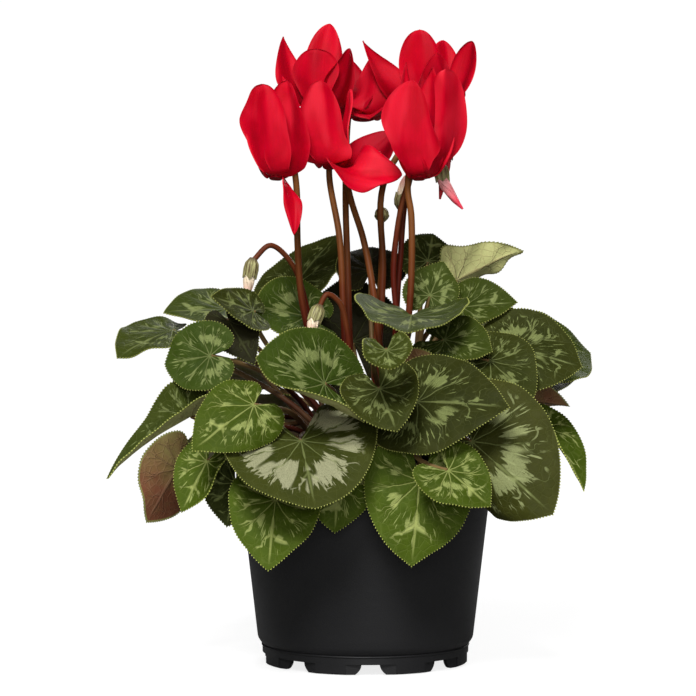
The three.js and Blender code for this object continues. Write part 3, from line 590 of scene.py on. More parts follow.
# Silver marks: a broken band half way out, flames along the small veins, and pale flecks
def marking_group():
    inputs = ("Place", "Seed", "Silver", "Distance", "Turn", "Forks")
    tree, w, (place, seed, silver, distance, turn, forks) = new_group(
        "leaf markings", inputs, ("Patches", "Flecks")
    )
    ring = w.split(place)[2]
    spread_seed = seed * 11.0

    def rays(round_rate, out_rate, shift, detail=1.0, roughness=0.5):
        """Noise that is drawn out from the place where the stalk joins."""
        spot = w.join(turn * round_rate, ring * out_rate, spread_seed + shift)
        return w.noise(spot, 1.0, detail, roughness)

    broad = rays(1.6, 2.2, 0.0, 2.0)
    flame = rays(11.0, 2.2, 3.0, 3.0, 0.65)
    rough = w.noise(place, 0.9)
    fringe = rays(19.0, 3.0, 5.0, 2.0) - 0.5
    inner = 0.24 + broad * 0.24 + fringe * 0.3
    outer = 0.3 + flame * (0.34 + silver * 0.34) + silver * 0.16 + (rough - 0.5) * 0.06
    band = w.step(ring, inner, inner + 0.04) * w.step(ring, outer, outer - 0.035)
    held = w.step(rays(2.3, 1.2, 9.0) + silver * 0.24, 0.6, 0.66)
    clear = w.step(distance, 0.2, 0.6)
    streaks = w.step(rays(26.0, 3.4, 17.0), 0.655, 0.69)
    twigs = forks * w.step(rays(2.9, 5.0, 23.0), 0.47, 0.55)
    zone = w.step(ring, 0.35, 0.5) * w.step(ring, 0.9, 0.8)
    worn = w.noise(place, 1.7, 3.0, 0.7)
    w.give(
        Patches=band * held * clear * (0.66 + w.step(worn, 0.34, 0.56) * 0.34),
        Flecks=w.math("MAXIMUM", streaks, twigs) * zone,
    )
    return tree


# Fine lengthwise grain of petals, stalks and buds
def grain_group():
    tree, w, (place, seed, across_rate, along_rate) = new_group(
        "fine ribs", ("Place", "Seed", "Across Rate", "Along Rate"), ("Ribs", "Blotch")
    )
    x, y, _ = w.split(place)
    layer = seed * 13.0
    stretched = w.join(x * along_rate, y * across_rate, layer)
    w.give(Ribs=w.noise(stretched, 1.0, 3.0, 0.6), Blotch=w.noise(w.join(x, y, layer), 0.12))
    return tree


VEINS = vein_group()
MARKINGS = marking_group()
GRAIN = grain_group()


# Leaf blades, upper side. The greens and the marks are (dark, light) pairs. Leaves that sit in shadow get
# painted shade.
def leaf_top(name, green, olive, marks, vein, rim):
    material, w, shader, place, seed = plant_material(name)
    lightness_and_shade, silver, turned = w.split(w.attribute("tint"))
    veins, forks, net, distance, turn = w.group(VEINS, Place=place, Seed=seed)
    patches, flecks = w.group(
        MARKINGS, Place=place, Seed=seed, Silver=silver, Distance=distance, Turn=turn, Forks=forks
    )
    ring = w.split(place)[2]
    blotch = w.noise(place, 0.11, 3.0)
    mottle = w.noise(place, 0.6, 3.0, 0.7)
    tone = w.math("ADD", blotch * 0.7 + lightness_and_shade * 0.5, w.step(ring, 0.45, 1.0) * 0.18, clamp=True)
    base = w.blend(turned, w.blend(tone, *green), w.blend(tone, *olive))
    base = w.blend(mottle * 0.3, base, "#182209")
    # Painted shade: below a lightness of 0 the green darkens towards near black, fully so for leaves that sit
    # in shadow
    base = w.blend(w.step(lightness_and_shade, 0.0, -1.0), base, "#222110")
    # Leaves in painted shade show little of their silver marks, flecks and pale veins
    outside_painted_shade = w.step(lightness_and_shade, -1.0, -0.2)
    mark = w.blend(w.step(silver, 0.45, 0.9), *marks)
    strength = outside_painted_shade * (0.48 + silver * 0.47)
    base = w.blend(patches * strength, base, mark)
    base = w.blend(flecks * strength, base, mark)
    base = w.blend(net * 0.05 * outside_painted_shade, base, vein)
    base = w.blend(veins * (w.math("ADD", outside_painted_shade, 0.2, clamp=True) * 0.5), base, vein)
    base = w.blend(w.step(ring, 0.984, 0.994), base, rim)
    height = mottle * 0.35 - veins * 0.9 - net * 0.3
    dress(w, shader, base, 0.48 + mottle * 0.22, height, 0.00035, 0.06)
    return material


# Leaf blades, under side: pale green to wine red, with raised veins
def leaf_under(name, pale, wine, vein, rim):
    material, w, shader, place, seed = plant_material(name)
    red = w.split(w.attribute("tint"))[2]
    veins, _, net, _, _ = w.group(VEINS, Place=place, Seed=seed)
    far, _, ring = w.split(place)
    blotch = w.noise(place, 0.1, 3.0)
    speckle = w.noise(place, 1.1, 3.0, 0.7)
    share = red * (0.5 + w.step(far, -5.0, 20.0) * 0.5)
    share = w.math("ADD", share, (blotch - 0.5) * 0.7, clamp=True)
    base = w.blend(share, w.blend(w.step(red, 0.0, -0.5), pale, "#b4b578"), wine)
    base = w.blend(w.step(speckle, 0.55, 0.75) * 0.35, base, wine)
    base = w.blend(net * 0.2, base, vein)
    base = w.blend(veins * 0.35, base, vein)
    base = w.blend(w.step(ring, 0.96, 0.98), base, rim)
    dress(w, shader, base, 0.5 + speckle * 0.2, speckle * 0.3 + veins + net * 0.35, 0.00035, 0.2)
    return material


# Petals: clear red, with painted highlights and painted shade in bands along the folds, paler edges and tip
# that are partly painted highlight, deeper at the throat, painted shade on petals in shadow, and faint ribs
def petal_skin():
    material, w, shader, place, seed = plant_material("petal_skin")
    ribs, blotch = w.group(GRAIN, Place=place, Seed=seed, Across_Rate=0.8, Along_Rate=0.05)
    x, y, along = w.split(place)
    edge, petal_shade, _ = w.split(w.attribute("tint"))
    painted_fold_light_and_shade = w.noise(w.join(x * 0.045, y * 0.085, seed * 7.0), 1.0, 1.0)
    base = w.blend(w.step(blotch, 0.3, 0.7), "#b40019", "#c80021")
    # Painted shade: darker patches on the shaded side of the folds
    base = w.blend(w.step(painted_fold_light_and_shade, 0.46, 0.3) * 0.45, base, "#9c0019")
    # Painted highlight: lighter bands along the folds, stronger towards the petal's upper part
    base = w.blend(w.step(painted_fold_light_and_shade, 0.5, 0.62) * (0.3 + w.step(along, 0.3, 0.9) * 0.45), base, "#d81c31")
    base = w.blend(w.step(ribs, 0.45, 0.75) * 0.1, base, "#a40018")
    # Paler edges and tip: partly the petal's own colour, partly painted highlight where they catch the light
    base = w.blend(w.step(edge, 0.9, 1.0) * 0.2, base, "#e02436")
    base = w.blend(w.step(along, 0.14, 0.0) * 0.75, base, "#7c0016")
    # Painted shade: petals that sit in shadow are darkened towards deep maroon
    base = w.blend(petal_shade * 0.8, base, "#7e0014")
    dress(w, shader, base, 0.45 + ribs * 0.2, ribs, 0.00012, 0.09)
    velvet = {
        "Sheen Weight": 0.02,
        "Sheen Roughness": 0.4,
        "Sheen Tint": colour("#ff6a70"),
        "Subsurface Weight": 0.12,
        "Subsurface Radius": (0.004, 0.0006, 0.0004),
        "Subsurface Scale": 1.0,
    }
    for name, value in velvet.items():
        shader.inputs[name].default_value = value
    return material


# Stalks: red-brown, redder low down, with lengthwise streaks. The leafstalks' dark foot is partly painted
# shade among the stems.
def stalk_skin(name, low, high, streak):
    material, w, shader, place, seed = plant_material(name)
    ribs, blotch = w.group(GRAIN, Place=place, Seed=seed, Across_Rate=0.8, Along_Rate=0.03)
    along = w.split(place)[2]
    brown = w.split(w.attribute("tint"))[0]
    rise = w.step(along, 0.3, 0.8) + (blotch - 0.5) * 0.5
    rise = w.math("ADD", rise, brown - 0.5, clamp=True)
    base = w.blend(w.step(ribs, 0.5, 0.7) * 0.4, w.blend(rise, low, high), streak)
    dress(w, shader, base, 0.36 + ribs * 0.25, ribs, 0.00018, 0.12)
    return material


# Calyx: ribbed green with brown streaks and edges
def calyx_skin():
    material, w, shader, place, seed = plant_material("calyx_skin")
    ribs, _ = w.group(GRAIN, Place=place, Seed=seed, Across_Rate=1.5, Along_Rate=0.12)
    along = w.split(place)[2]
    base = w.blend(w.step(ribs, 0.38, 0.6), "#5c4a2c", "#a9a66e")
    base = w.blend(w.step(along, 0.35, 0.0) * 0.8, base, "#4f3526")
    dress(w, shader, base, 0.55, ribs, 0.0003)
    return material


# Furled petals of a bud: one colour near the calyx, another at the tip
def bud_skin(name, near, far, streak):
    material, w, shader, place, seed = plant_material(name)
    ribs, _ = w.group(GRAIN, Place=place, Seed=seed, Across_Rate=1.3, Along_Rate=0.1)
    along = w.split(place)[2]
    base = w.blend(w.step(along, 0.1, 0.9), near, far)
    base = w.blend(w.step(ribs, 0.5, 0.7) * 0.35, base, streak)
    dress(w, shader, base, 0.4 + ribs * 0.2, ribs, 0.00025)
    return material


# Pot: satin black plastic with faint moulding lines, scuffs and dust
def pot_plastic():
    material, w, shader = new_material("pot_plastic")
    spot = w.spot()
    x, y, z = w.split(spot)
    scuffs = w.noise(w.join(x * 60.0, y * 60.0, z * 340.0), 1.0, 4.0, 0.7)
    clouds = w.noise(spot, 26.0, 3.0)
    fine = w.noise(spot, 1900.0)
    base = w.blend(clouds, "#19191a", "#202021")
    base = w.blend(w.step(scuffs, 0.6, 0.8) * 0.3, base, "#2b2b2c")
    rough = 0.42 + clouds * 0.12 + w.step(scuffs, 0.55, 0.8) * 0.12
    dress(w, shader, base, rough, fine + scuffs * 0.6, 0.00006, 0.2)
    return material


# Potting mix and the tuber's corky skin
def earth(name, dark, light, scale, depth):
    material, w, shader = new_material(name)
    spot = w.spot()
    clumps = w.noise(spot, scale, 5.0, 0.7)
    fibres = w.read(w.node("ShaderNodeTexVoronoi", {"Vector": spot, "Scale": scale * 2.3}), "Distance")
    base = w.blend(w.step(clumps, 0.35, 0.7), dark, light)
    base = w.blend(w.step(fibres, 0.45, 0.1), base, dark)
    dress(w, shader, base, 0.75 + clumps * 0.2, clumps + fibres * 0.5, depth)
    return material


LEAF_TOP = leaf_top(
    "leaf_top",
    green=("#20310a", "#415117"),
    olive=("#272b09", "#464719"),
    marks=("#879158", "#979776"),
    vein="#7c8550",
    rim="#a3a75a",
)
YOUNG_TOP = leaf_top(
    "young_leaf_top",
    green=("#32460a", "#506612"),
    olive=("#363d0e", "#51591a"),
    marks=("#a0a964", "#aaae7a"),
    vein="#a5ad64",
    rim="#b6bc62",
)
LEAF_UNDER = leaf_under("leaf_under", pale="#7d8048", wine="#70452f", vein="#8a6a50", rim="#85864c")
YOUNG_UNDER = leaf_under("young_under", pale="#8a9350", wine="#84503e", vein="#a09a60", rim="#9aa058")
PETAL = petal_skin()
STALK = stalk_skin("stalk_skin", low="#52180c", high="#784a22", streak="#36170c")
# Leafstalks: the dark foot is partly their own red-brown and partly painted shade where they crowd above the
# crown
LEAFSTALK = stalk_skin("leafstalk_skin", low="#3a180f", high="#77603c", streak="#2c140d")
CALYX = calyx_skin()
PALE_BUD = bud_skin("pale_bud_skin", near="#efe0c0", far="#e2a79a", streak="#c9a37c")
PINK_BUD = bud_skin("pink_bud_skin", near="#e9a0a0", far="#e0304a", streak="#cc2440")
RED_BUD = bud_skin("red_bud_skin", near="#d8263a", far="#c8001e", streak="#9c0018")
POT = pot_plastic()
SOIL = earth("potting_mix", "#1a120c", "#4a3524", 210.0, 0.0012)
TUBER = earth("tuber_skin", "#2c1c12", "#6a4a33", 150.0, 0.0007)


# Rows of the plant
# A flower: the mouth of its tube, the way it nods, the way its stalk hooks over, in degrees, the points that
# the stalk passes and the petals.
def flower(name, mouth, nod, hook, via, petals):
    return {
        "kind": "flower", "name": name, "mouth": vec(*mouth), "nod": facing(*nod),
        "hook": hook, "via": via, "petals": petals,
    }


# A petal: its side of the bloom, its tip, the way it faces there, its width and its bulge. Then where along
# it each side is widest, how pointed it is, how far its tip is twisted, in degrees, how much painted shade it
# gets because it sits in shadow, and how much fuller or leaner each side is at the places of TRIM_AT.
TRIM_AT = (0.2, 0.4, 0.6, 0.8, 0.95)
EVEN = (1, 1, 1, 1, 1)


def petal(side, tip, face, width, belly, widest, point, twist, painted_shade=0.0, trims=(EVEN, EVEN)):
    return {
        "side": side, "tip": vec(*tip), "face": facing(*face), "width": width, "belly": belly,
        "widest": widest, "point": point, "twist": math.radians(twist), "painted_shade": painted_shade, "trims": trims,
    }


FLOWERS = [
    flower("front_left", (-44, -30, 241), (-10, -75), 105,
           [(-20, -10, 140), (-31, -16, 178), (-33.5, -22, 208)],
           [petal(-25, (-50, -42, 286), (-12, 8), 25, 13, (0.82, 0.55), 0.42, -10,
                  trims=((0.8, 0.8, 0.95, 1.2, 0.85), EVEN)),
            petal(35, (-39, -33, 288), (25, 5), 23, 12, (0.7, 0.6), 0.5, 14,
                  trims=(EVEN, (1, 1.2, 1.3, 1.2, 1))),
            petal(70, (-35, -41, 213), (35, 0), 10, 6, (0.5, 0.66), 0.8, 20),
            petal(172, (-40, -16, 290), (160, 0), 20, 11, (0.6, 0.7), 0.8, 12),
            petal(-100, (-53, -22, 281), (-110, 0), 20, 11, (0.7, 0.6), 0.6, -14)]),
    flower("middle_left", (-18, -8, 247), (0, -75), 180,
           [(-9, -4, 140), (-11, -6, 176), (-13, -3, 212)],
           [petal(-15, (-22, -18, 289), (5, 5), 26, 12, (0.6, 0.45), 0.45, 12),
            petal(55, (18, -16, 243), (8, 22), 26, 12, (0.5, 0.42), 0.75, -8,
                  trims=((1.9, 1.35, 1.15, 1, 1), (1.3, 1.1, 1, 1, 1))),
            petal(105, (13, 6, 264), (20, 0), 18, 10, (0.55, 0.75), 0.45, 0, 0.8),
            petal(-90, (-35, -3, 283), (-120, 0), 22, 11, (0.6, 0.7), 0.6, 14),
            petal(125, (-8, 4, 286), (120, 0), 20, 11, (0.7, 0.6), 0.6, -12)]),
    flower("back_left", (-24, 16, 277), (0, -70), 110,
           [(8, 0, 140), (4, 4, 184), (-1, 12, 211), (-8, 18, 234)],
           [petal(-95, (-41, 14, 313), (-20, 0), 17, 12, (0.7, 0.45), 0.95, -10),
            petal(186, (-18, 34, 321), (-10, 5), 24, 12, (0.55, 0.62), 0.62, 10),
            petal(-10, (-24, 4, 306), (-5, 8), 22, 11, (0.8, 0.8), 0.4, 0, 0.15),
            petal(65, (-8, 12, 307), (40, 0), 23, 11, (0.6, 0.45), 0.6, 16, 0.45),
            petal(-138, (-38, 30, 304), (-150, 0), 20, 12, (0.6, 0.7), 0.6, 12)]),
    flower("back_middle", (0, 30, 273), (0, -65), -120,
           [(-7, 8, 140), (-9, 15, 198), (-10, 26, 235)],
           [petal(30, (5, 26, 305), (-20, 0), 28, 12, (0.6, 0.5), 0.65, -12, 0.5),
            petal(0, (2, 2, 271), (0, 75), 22, 10, (0.65, 0.65), 0.5, 0, 0.4),
            petal(95, (22, 40, 297), (80, 0), 20, 11, (0.6, 0.7), 0.6, 14),
            petal(165, (6, 52, 299), (170, 0), 22, 12, (0.7, 0.6), 0.6, -10),
            petal(-55, (-8, 38, 303), (-30, 0), 25, 10, (0.55, 0.5), 0.7, 10, 0.75)]),
    flower("back_right", (33, 18, 278), (0, -70), -145,
           [(7, 14, 140), (9, 20, 196), (9, 24, 238)],
           [petal(-80, (-1, 13, 311), (-20, 10), 15, 12, (0.5, 0.55), 1.1, -16, 0.15),
            petal(-25, (27, 6, 316), (-12, 8), 23, 12, (0.75, 0.6), 0.5, -8),
            petal(30, (35, 0, 304), (20, 5), 20, 11, (0.6, 0.55), 0.8, 14),
            petal(85, (53, 16, 311), (30, 0), 14, 12, (0.75, 0.75), 0.55, 0),
            petal(150, (40, 38, 313), (10, 0), 23, 12, (0.55, 0.65), 0.6, 10)]),
    flower("front_right", (26, -26, 241), (5, -75), -150,
           [(14, -12, 140), (21, -19, 172), (22.5, -18, 222)],
           [petal(-25, (22, -40, 288), (-8, 8), 26, 13, (0.76, 0.56), 0.62, -8,
                  trims=((0.85, 0.72, 0.85, 1.1, 1), (0.65, 0.75, 1.05, 1, 1))),
            petal(35, (32, -28, 295), (20, 5), 20, 9, (0.62, 0.55), 0.85, 10),
            petal(90, (39, -28, 294), (18, 5), 27, 14, (0.6, 0.66), 0.45, 4,
                  trims=(EVEN, (0.65, 0.78, 0.95, 1, 1))),
            petal(-95, (20, -16, 298), (-40, 0), 20, 11, (0.6, 0.6), 0.85, -10),
            petal(150, (38, -12, 289), (150, 0), 20, 12, (0.6, 0.7), 0.6, 12)]),
]


# A bud: the two ends of its calyx, the tip of its petals and the points that its stalk passes
def bud(name, slot, skin, calyx, tip, via):
    neck, mouth = (vec(*p) for p in calyx)
    return {
        "kind": "bud", "name": name, "slot": slot, "skin": skin,
        "neck": neck, "mouth": mouth, "tip": vec(*tip), "via": via,
    }


BUDS = [
    bud("left", "bud_pale", PALE_BUD, [(-55.5, -20, 202), (-57, -20, 193.5)], (-59.5, -20, 180),
        [(-20, -3, 140), (-28, -6, 172), (-36, -12, 198), (-47, -17, 208)]),
    bud("middle", "bud_pale", PALE_BUD, [(-22.5, -30, 179), (-25, -31.5, 172)], (-28.5, -34, 162),
        [(-8, -18, 140), (-9, -24, 165), (-13, -27, 180), (-19, -29, 184)]),
    bud("right_high", "petal", RED_BUD, [(40, -1, 260), (40, -2, 252)], (37, -4, 231),
        [(12, 4, 140), (17, 3, 196), (21, 3, 236), (30, 5, 260), (37, 2, 267)]),
    bud("right_low", "bud_pink", PINK_BUD, [(37, -10, 249), (38, -11, 241)], (48, -14, 226),
        [(11, -4, 140), (14, -4, 196), (19, -7, 232), (27, -8, 250), (33, -9, 254)]),
    bud("small", "bud_pale", PALE_BUD, [(17.5, 11, 226), (18.5, 10, 233)], (20, 10, 243),
        [(13, 9, 140), (14, 13, 196)]),
]

POD = {"kind": "pod", "centre": vec(8.5, 30, 224), "radius": 3.6, "via": [(5, 20, 140), (8, 28, 196)]}

# Tones of a blade: how light its green is, where below 0 the green darkens towards near black, a deeper green
# in the milder tones and painted shade in the darkest tone, for leaves that sit in shadow, how silver its
# marks are, how wine red its under side is, and how far its green turns to olive
TONES = {
    "silver": (0.15, 0.95, 0.6, 0.8),
    "dull": (0.12, 0.62, 0.5, 1.0),
    "tarnished": (-0.25, 0.42, 0.5, 0.85),
    "mature": (0.2, 0.4, 0.35, 0.35),
    "olive": (-0.35, 0.4, 0.35, 0.85),
    "deep": (-0.2, 0.2, 0.5, 0.8),
    "dark": (-0.3, 0.1, 0.6, 0.6),
    "in_shadow": (-1.0, 0.0, 0.6, 0.8),
    "plain": (0.3, 0.2, -0.3, 0.5),
    "green": (0.35, 0.45, -0.3, 0.0),
    "sprout": (0.3, 0.3, 0.3, 0.6),
    "young": (0.2, 0.35, -0.1, 0.3),
    "bright": (-0.12, 0.25, -0.3, 0.35),
    "wine": (0.2, 0.4, 1.0, 0.5),
    "brown": (0.2, 0.4, 0.85, 0.5),
    "pale": (0.5, 0.35, -0.5, 0.5),
}


# A blade: where the stalk joins, the tip, the way it looks, its width over its length, half the angle of its
# cleft, the cup of its two sides, its fold, its curl, how far the rear lobes are drawn in, its tone, how wide
# its tip is and how uneven it is.
def leaf(at, tip, face, wide, cleft, cup, fold, curl, back, tone="mature", point=TIP_WIDTH, rough=1.0):
    return {
        "at": vec(*at), "tip": vec(*tip), "face": face, "wide": wide, "cleft": cleft, "cup": cup,
        "fold": fold, "curl": curl, "back": back, "tone": tone, "point": point, "rough": rough,
        "phase": at[0] + at[2],
    }


LEAVES = [
    [leaf((-31, -84, 116), (-24, -110, 87), (5, 36), 1.8, 28, (0.1, 0), 0, 0.3, -0.05, "silver")],
    [leaf((24, -78, 134), (67, -96, 132), (8, 36), 1.18, 16, (0.1, -0.5), 0, 0.3, 0.05, "olive")],
    [leaf((25, -82, 97), (21, -86, 56), (3, 15), 1.25, 18, (-0.2, -0.2), 0, 0.3, 0.05, "young")],
    [leaf((-43, -74, 88), (-46, -84, 56), (-5, 20), 1.32, 16, (0.2, 0.2), 0, 0.4, 0.05, "young")],
    [leaf((38, -96, 103), (57, -104, 87), (8, 35), 1.3, 28, (0.1, 0.1), 0, 0.2, 0.05, "bright")],
    [leaf((-20, -76, 143), (-52, -90, 156), (-5, 32), 1.45, 16, (1.5, 0.1), 0, 0.2, 0.05, "green")],
    [leaf((47, -70, 112), (84, -86, 79), (12, 2), 1.3, 20, (-0.1, -2.2), 0, 0.3, 0.05, "dull", 0.7)],
    [leaf((-53, -84, 133), (-82, -96, 112), (-15, 32), 1.15, 30, (-1.4, 0), 0, 0.3, 0.35, "bright")],
    [leaf((-75, -56, 155), (-97, -50, 151), (-18, 22), 1.75, 14, (0.2, 0.2), 0, 0.2, 0.4, "green")],
    [leaf((22, -40, 174), (20, -72, 167), (0, 56), 1.8, 16, (0.45, 0.5), 0, 0.1, 0.05, "mature", 0.5, 1.5)],
    [
        leaf((9, -112, 160), (11, -121, 152), (0, 35), 2, 30, (0.5, 0.5), 0, 0.1, 0.05, "sprout", 0.5, 1.8),
        leaf((27, -54, 150), (23, -60, 159), (170, 20), 1.4, 16, (0.2, 0.2), 0, 0.2, 0.05, "wine"),
    ],
    [leaf((3, -86, 141), (11, -104, 122), (-5, 25), 1.35, 16, (0.4, 0.5), 0, 0.2, 0.05, "deep")],
    [leaf((72, -30, 157), (106, -36, 148), (20, 40), 1.5, 16, (0.2, -0.2), 0, 0.3, 0.15, "tarnished")],
    [leaf((-84, -60, 129), (-122, -84, 101), (-40, 35), 0.72, 16, (0.3, 0.2), 0.8, 0.5, 0.05, "plain", 0.2)],
    [leaf((-30, -2, 172), (-57, -16, 178), (-5, 40), 1.5, 16, (0.2, 0.2), 0, 0.2, 0.05, "green")],
    [leaf((60, -50, 152), (79, -66, 134), (15, 30), 1.35, 16, (0.2, 0.2), 0, 0.2, 0.05, "deep")],
    [
        leaf((38, -48, 162), (61, -62, 157), (10, 42), 1.3, 16, (0.2, 0.2), 0, 0.2, 0.05, "mature"),
        leaf((48, -4, 177), (75, -14, 180), (10, 42), 1.2, 16, (0.2, 0.2), 0, 0.2, 0.05, "mature"),
    ],
    [leaf((-95, -26, 166), (-121, -58, 152), (-30, 42), 1, 16, (0.3, 0.3), 0, 0.4, 0.05, "plain", 0.5, 1.8)],
    [leaf((-76, -66, 105), (-88, -74, 81), (-20, 10), 1, 16, (1.6, 0.1), 0, 0.2, 0.05, "young")],
    [leaf((88, -20, 119), (107, -32, 88), (60, 10), 0.75, 16, (0.3, 0.3), 0.4, 0.3, 0.05, "bright")],
    [leaf((-93, -16, 98), (-108, -30, 72), (-150, 10), 1.15, 16, (0.3, 0.3), 0, 0.2, 0.05, "wine")],
    [leaf((-13, -76, 98), (-15, -80, 72), (-3, 20), 1.4, 16, (0.2, 0.2), 0, 0.3, 0.05, "young")],
    [
        leaf((-67, -26, 168), (-54, -36, 147), (5, 20), 0.9, 14, (0.3, 0.3), 0, 0.2, 0.05, "in_shadow"),
        leaf((-55, -30, 176), (-75, -44, 183), (-10, 40), 1.05, 14, (0.1, 0.1), 0, 0.2, 0.15, "deep"),
    ],
    [leaf((-70, -12, 173), (-100, -26, 171), (0, 62), 1.2, 16, (0.3, 0.3), 0, 0.3, 0.05, "mature")],
    [leaf((-36, 22, 188), (-14, 42, 213), (-40, 45), 1.25, 16, (0.2, 0.2), 0, 0.2, 0.05, "deep")],
    [leaf((46, 22, 190), (78, 32, 205), (172, 32), 1.1, 16, (1.2, 0.2), 0.3, 0.3, 0.35, "pale", 0.3, 4.0)],
    [
        leaf((32, -8, 183), (39, 4, 199), (5, 35), 1.3, 16, (0.2, 0.2), 0, 0.2, 0.05, "mature"),
        leaf((32, 26, 200), (35, 40, 214), (10, 35), 1.5, 16, (0.2, 0.2), 0, 0.2, 0.05, "dark"),
    ],
    [leaf((3, 34, 195), (4, 52, 207), (0, 40), 1.7, 16, (0.2, 0.2), 0, 0.2, 0.05, "in_shadow")],
    [
        leaf((-63, -56, 100), (-67, -60, 79), (-15, 5), 1.4, 16, (0.2, 0.2), 0, 0.2, 0.05, "dark"),
        leaf((-66, 34, 112), (-96, 60, 84), (-125, 20), 1.35, 16, (0.2, 0.2), 0, 0.3, 0.05, "young"),
    ],
    [
        leaf((89, 20, 155), (116, 40, 153), (20, 45), 1.5, 16, (0.2, 0.2), 0, 0.3, 0.05),
        leaf((76, -24, 132), (101, -14, 128), (170, 40), 0.9, 16, (0.3, 0.3), 0.4, 0.2, 0.05, "brown"),
    ],
    [
        leaf((68, 62, 150), (120.5, 94, 150), (50, 50), 1.2, 16, (0.2, 0.2), 0, 0.3, 0.05, "dull"),
        leaf((66, 22, 114), (94, 42, 94), (80, 25), 1.4, 16, (0.2, 0.2), 0, 0.3, 0.05, "young"),
    ],
    [
        leaf((-52, 40, 140), (-92, 56, 128), (-130, 40), 1.45, 16, (0.2, 0.2), 0, 0.3, 0.05),
        leaf((-30, 62, 120), (-48, 104, 92), (-160, 30), 1.45, 16, (0.2, 0.2), 0, 0.3, 0.05, "silver"),
    ],
    [
        leaf((14, 66, 126), (20, 108, 100), (172, 32), 1.5, 16, (0.2, 0.2), 0, 0.3, 0.05),
        leaf((44, 54, 108), (78, 90, 82), (140, 25), 1.35, 16, (0.2, 0.2), 0, 0.3, 0.05, "young"),
        leaf((-6, 38, 152), (-10, 52, 186), (0, 25), 1.5, 16, (0.2, 0.2), 0, 0.3, 0.05, "in_shadow"),
    ],
]


# Where the stems leave the crown
def socket(radius, turn):
    out = facing(math.degrees(turn), 90 - SOCKET_LEAN * radius / CROWN_RADIUS)
    return vec(radius * math.sin(turn), -radius * math.cos(turn), TUBER_CENTRE + TUBER_HALF_HEIGHT), out


def share_sockets(stems):
    """Every stem gets a socket: the steepest in the middle, and each ring filled in turn round the tuber."""

    def reach(stem):
        x, y, z = stem["goal"]
        return math.hypot(x, y) / (z - TUBER_CENTRE)

    def turn(stem):
        return math.atan2(stem["goal"][0], -stem["goal"][1])

    by_reach = sorted(stems, key=reach)
    used = 0
    for radius, places in SOCKET_RINGS:
        group = sorted(by_reach[used : used + places], key=turn)
        for i, stem in enumerate(group):
            stem["socket"] = socket(radius, -math.pi + 2 * math.pi * (i + 0.5) / len(group))
        used += len(group)


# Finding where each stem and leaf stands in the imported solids
class Corners:
    """The corners of one solid, in millimetres."""

    def __init__(self, node):
        points = [v.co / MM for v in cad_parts[node].data.vertices]
        self.tree = KDTree(len(points))
        for i, point in enumerate(points):
            self.tree.insert(point, i)
        self.tree.balance()

    def miss(self, points):
        """How far given points lie from the nearest corners, on the whole."""
        return sum(self.tree.find(p)[2] for p in np.reshape(points, (-1, 3)))

    def best(self, choices, points_of):
        return min(choices, key=lambda choice: self.miss(points_of(choice)))


def heart(angle, row):
    """A blade's outline round the place where the stalk joins, as shares of its length."""
    a = np.abs(angle)
    side = row["wide"] / 2
    radius = side + (1 - side) * np.exp(-a / row["point"]) - row["back"] * (a / math.pi) ** 2
    return radius * np.cos(angle), radius * np.sin(angle)


def blade_frame(row, nudge):
    length = np.linalg.norm(row["tip"] - row["at"])
    forward = unit(row["tip"] - row["at"])
    up = square_to(facing(*row["face"]), forward)
    return length, forward, up, np.cross(up, forward), row["at"] + nudge


def blade_points(row, placed, u, v, ring, angle):
    """Points of the bent blade, and the way its upper side looks there."""
    length, forward, up, across, root = placed
    curl = row["curl"]
    bend = curl * (0.5 - u)
    chord = 2 * math.sin(curl / 2) / curl
    run = (math.sin(curl / 2) - np.sin(bend)) / curl
    rise = (np.cos(bend) - math.cos(curl / 2)) / curl
    rate = np.where(v > 0, *(cup or NEARLY_FLAT for cup in row["cup"])) / BEND_WIDTH
    side = np.where(v > 0, 1.0, -1.0)
    tilt = row["fold"] + rate * np.abs(v)
    out = side * (np.sin(tilt) - math.sin(row["fold"])) / rate
    lift = (math.cos(row["fold"]) - np.cos(tilt)) / rate
    wave = EDGE_WAVE * ring * ring * np.sin(3 * angle + row["phase"])
    local = up * np.cos(bend)[:, None] - forward * np.sin(bend)[:, None]
    points = root + forward * (length / chord * run)[:, None] + up * (length / chord * rise)[:, None]
    points = points + across * (length * out)[:, None] + local * (length * (lift + wave))[:, None]
    normals = local * np.cos(tilt)[:, None] - across * (side * np.sin(tilt))[:, None]
    return points, normals


def find_nudge(row, corners):
    """How far the leaf was moved aside, from the corners at its tip and where its stalk joins."""
    tip_and_root, none = np.array((1.0, 0.0)), np.zeros(2)
    placed = blade_frame(row, vec(0, 0, 0))
    points, normals = blade_points(row, placed, tip_and_root, none, tip_and_root, none)
    above, below = points + normals * CAD_BLADE_THICKNESS / 2, points - normals * CAD_BLADE_THICKNESS / 2
    marks = np.array((above[0], below[0], above[1]))
    across, away, up = (steps_both_ways(most) for most in MOST_NUDGES)
    choices = [vec(x, y, z) * NUDGE_STEP for x in across for y in away for z in up]
    return corners.best(choices, lambda nudge: marks + nudge)


def leafstalk_line(row, base, nudge, bows, steps):
    """From its socket up, out and into the blade from below and behind."""
    point, out = base
    _, forward, up, _, root = blade_frame(row, nudge)
    reach = np.linalg.norm(point - root)
    into = unit(up * LEAFSTALK_INTO[0] + forward * LEAFSTALK_INTO[1])
    level = unit((root - point) * vec(1, 1, 0))
    side, rise = bows
    bow = vec(-level[1] * side, level[0] * side, rise)
    first = point + out * LEAFSTALK_LEAVES * reach + bow * LEAFSTALK_FIRST_BOW
    second = root - into * LEAFSTALK_ARRIVES * reach + bow
    end = root - into * STALK_END_DEPTH
    curve = bezier((point, first, second, end), np.arange(steps + 1) / steps)
    return np.concatenate(([point + out * (FIT_GAP - SOCKET_DEPTH)], curve))


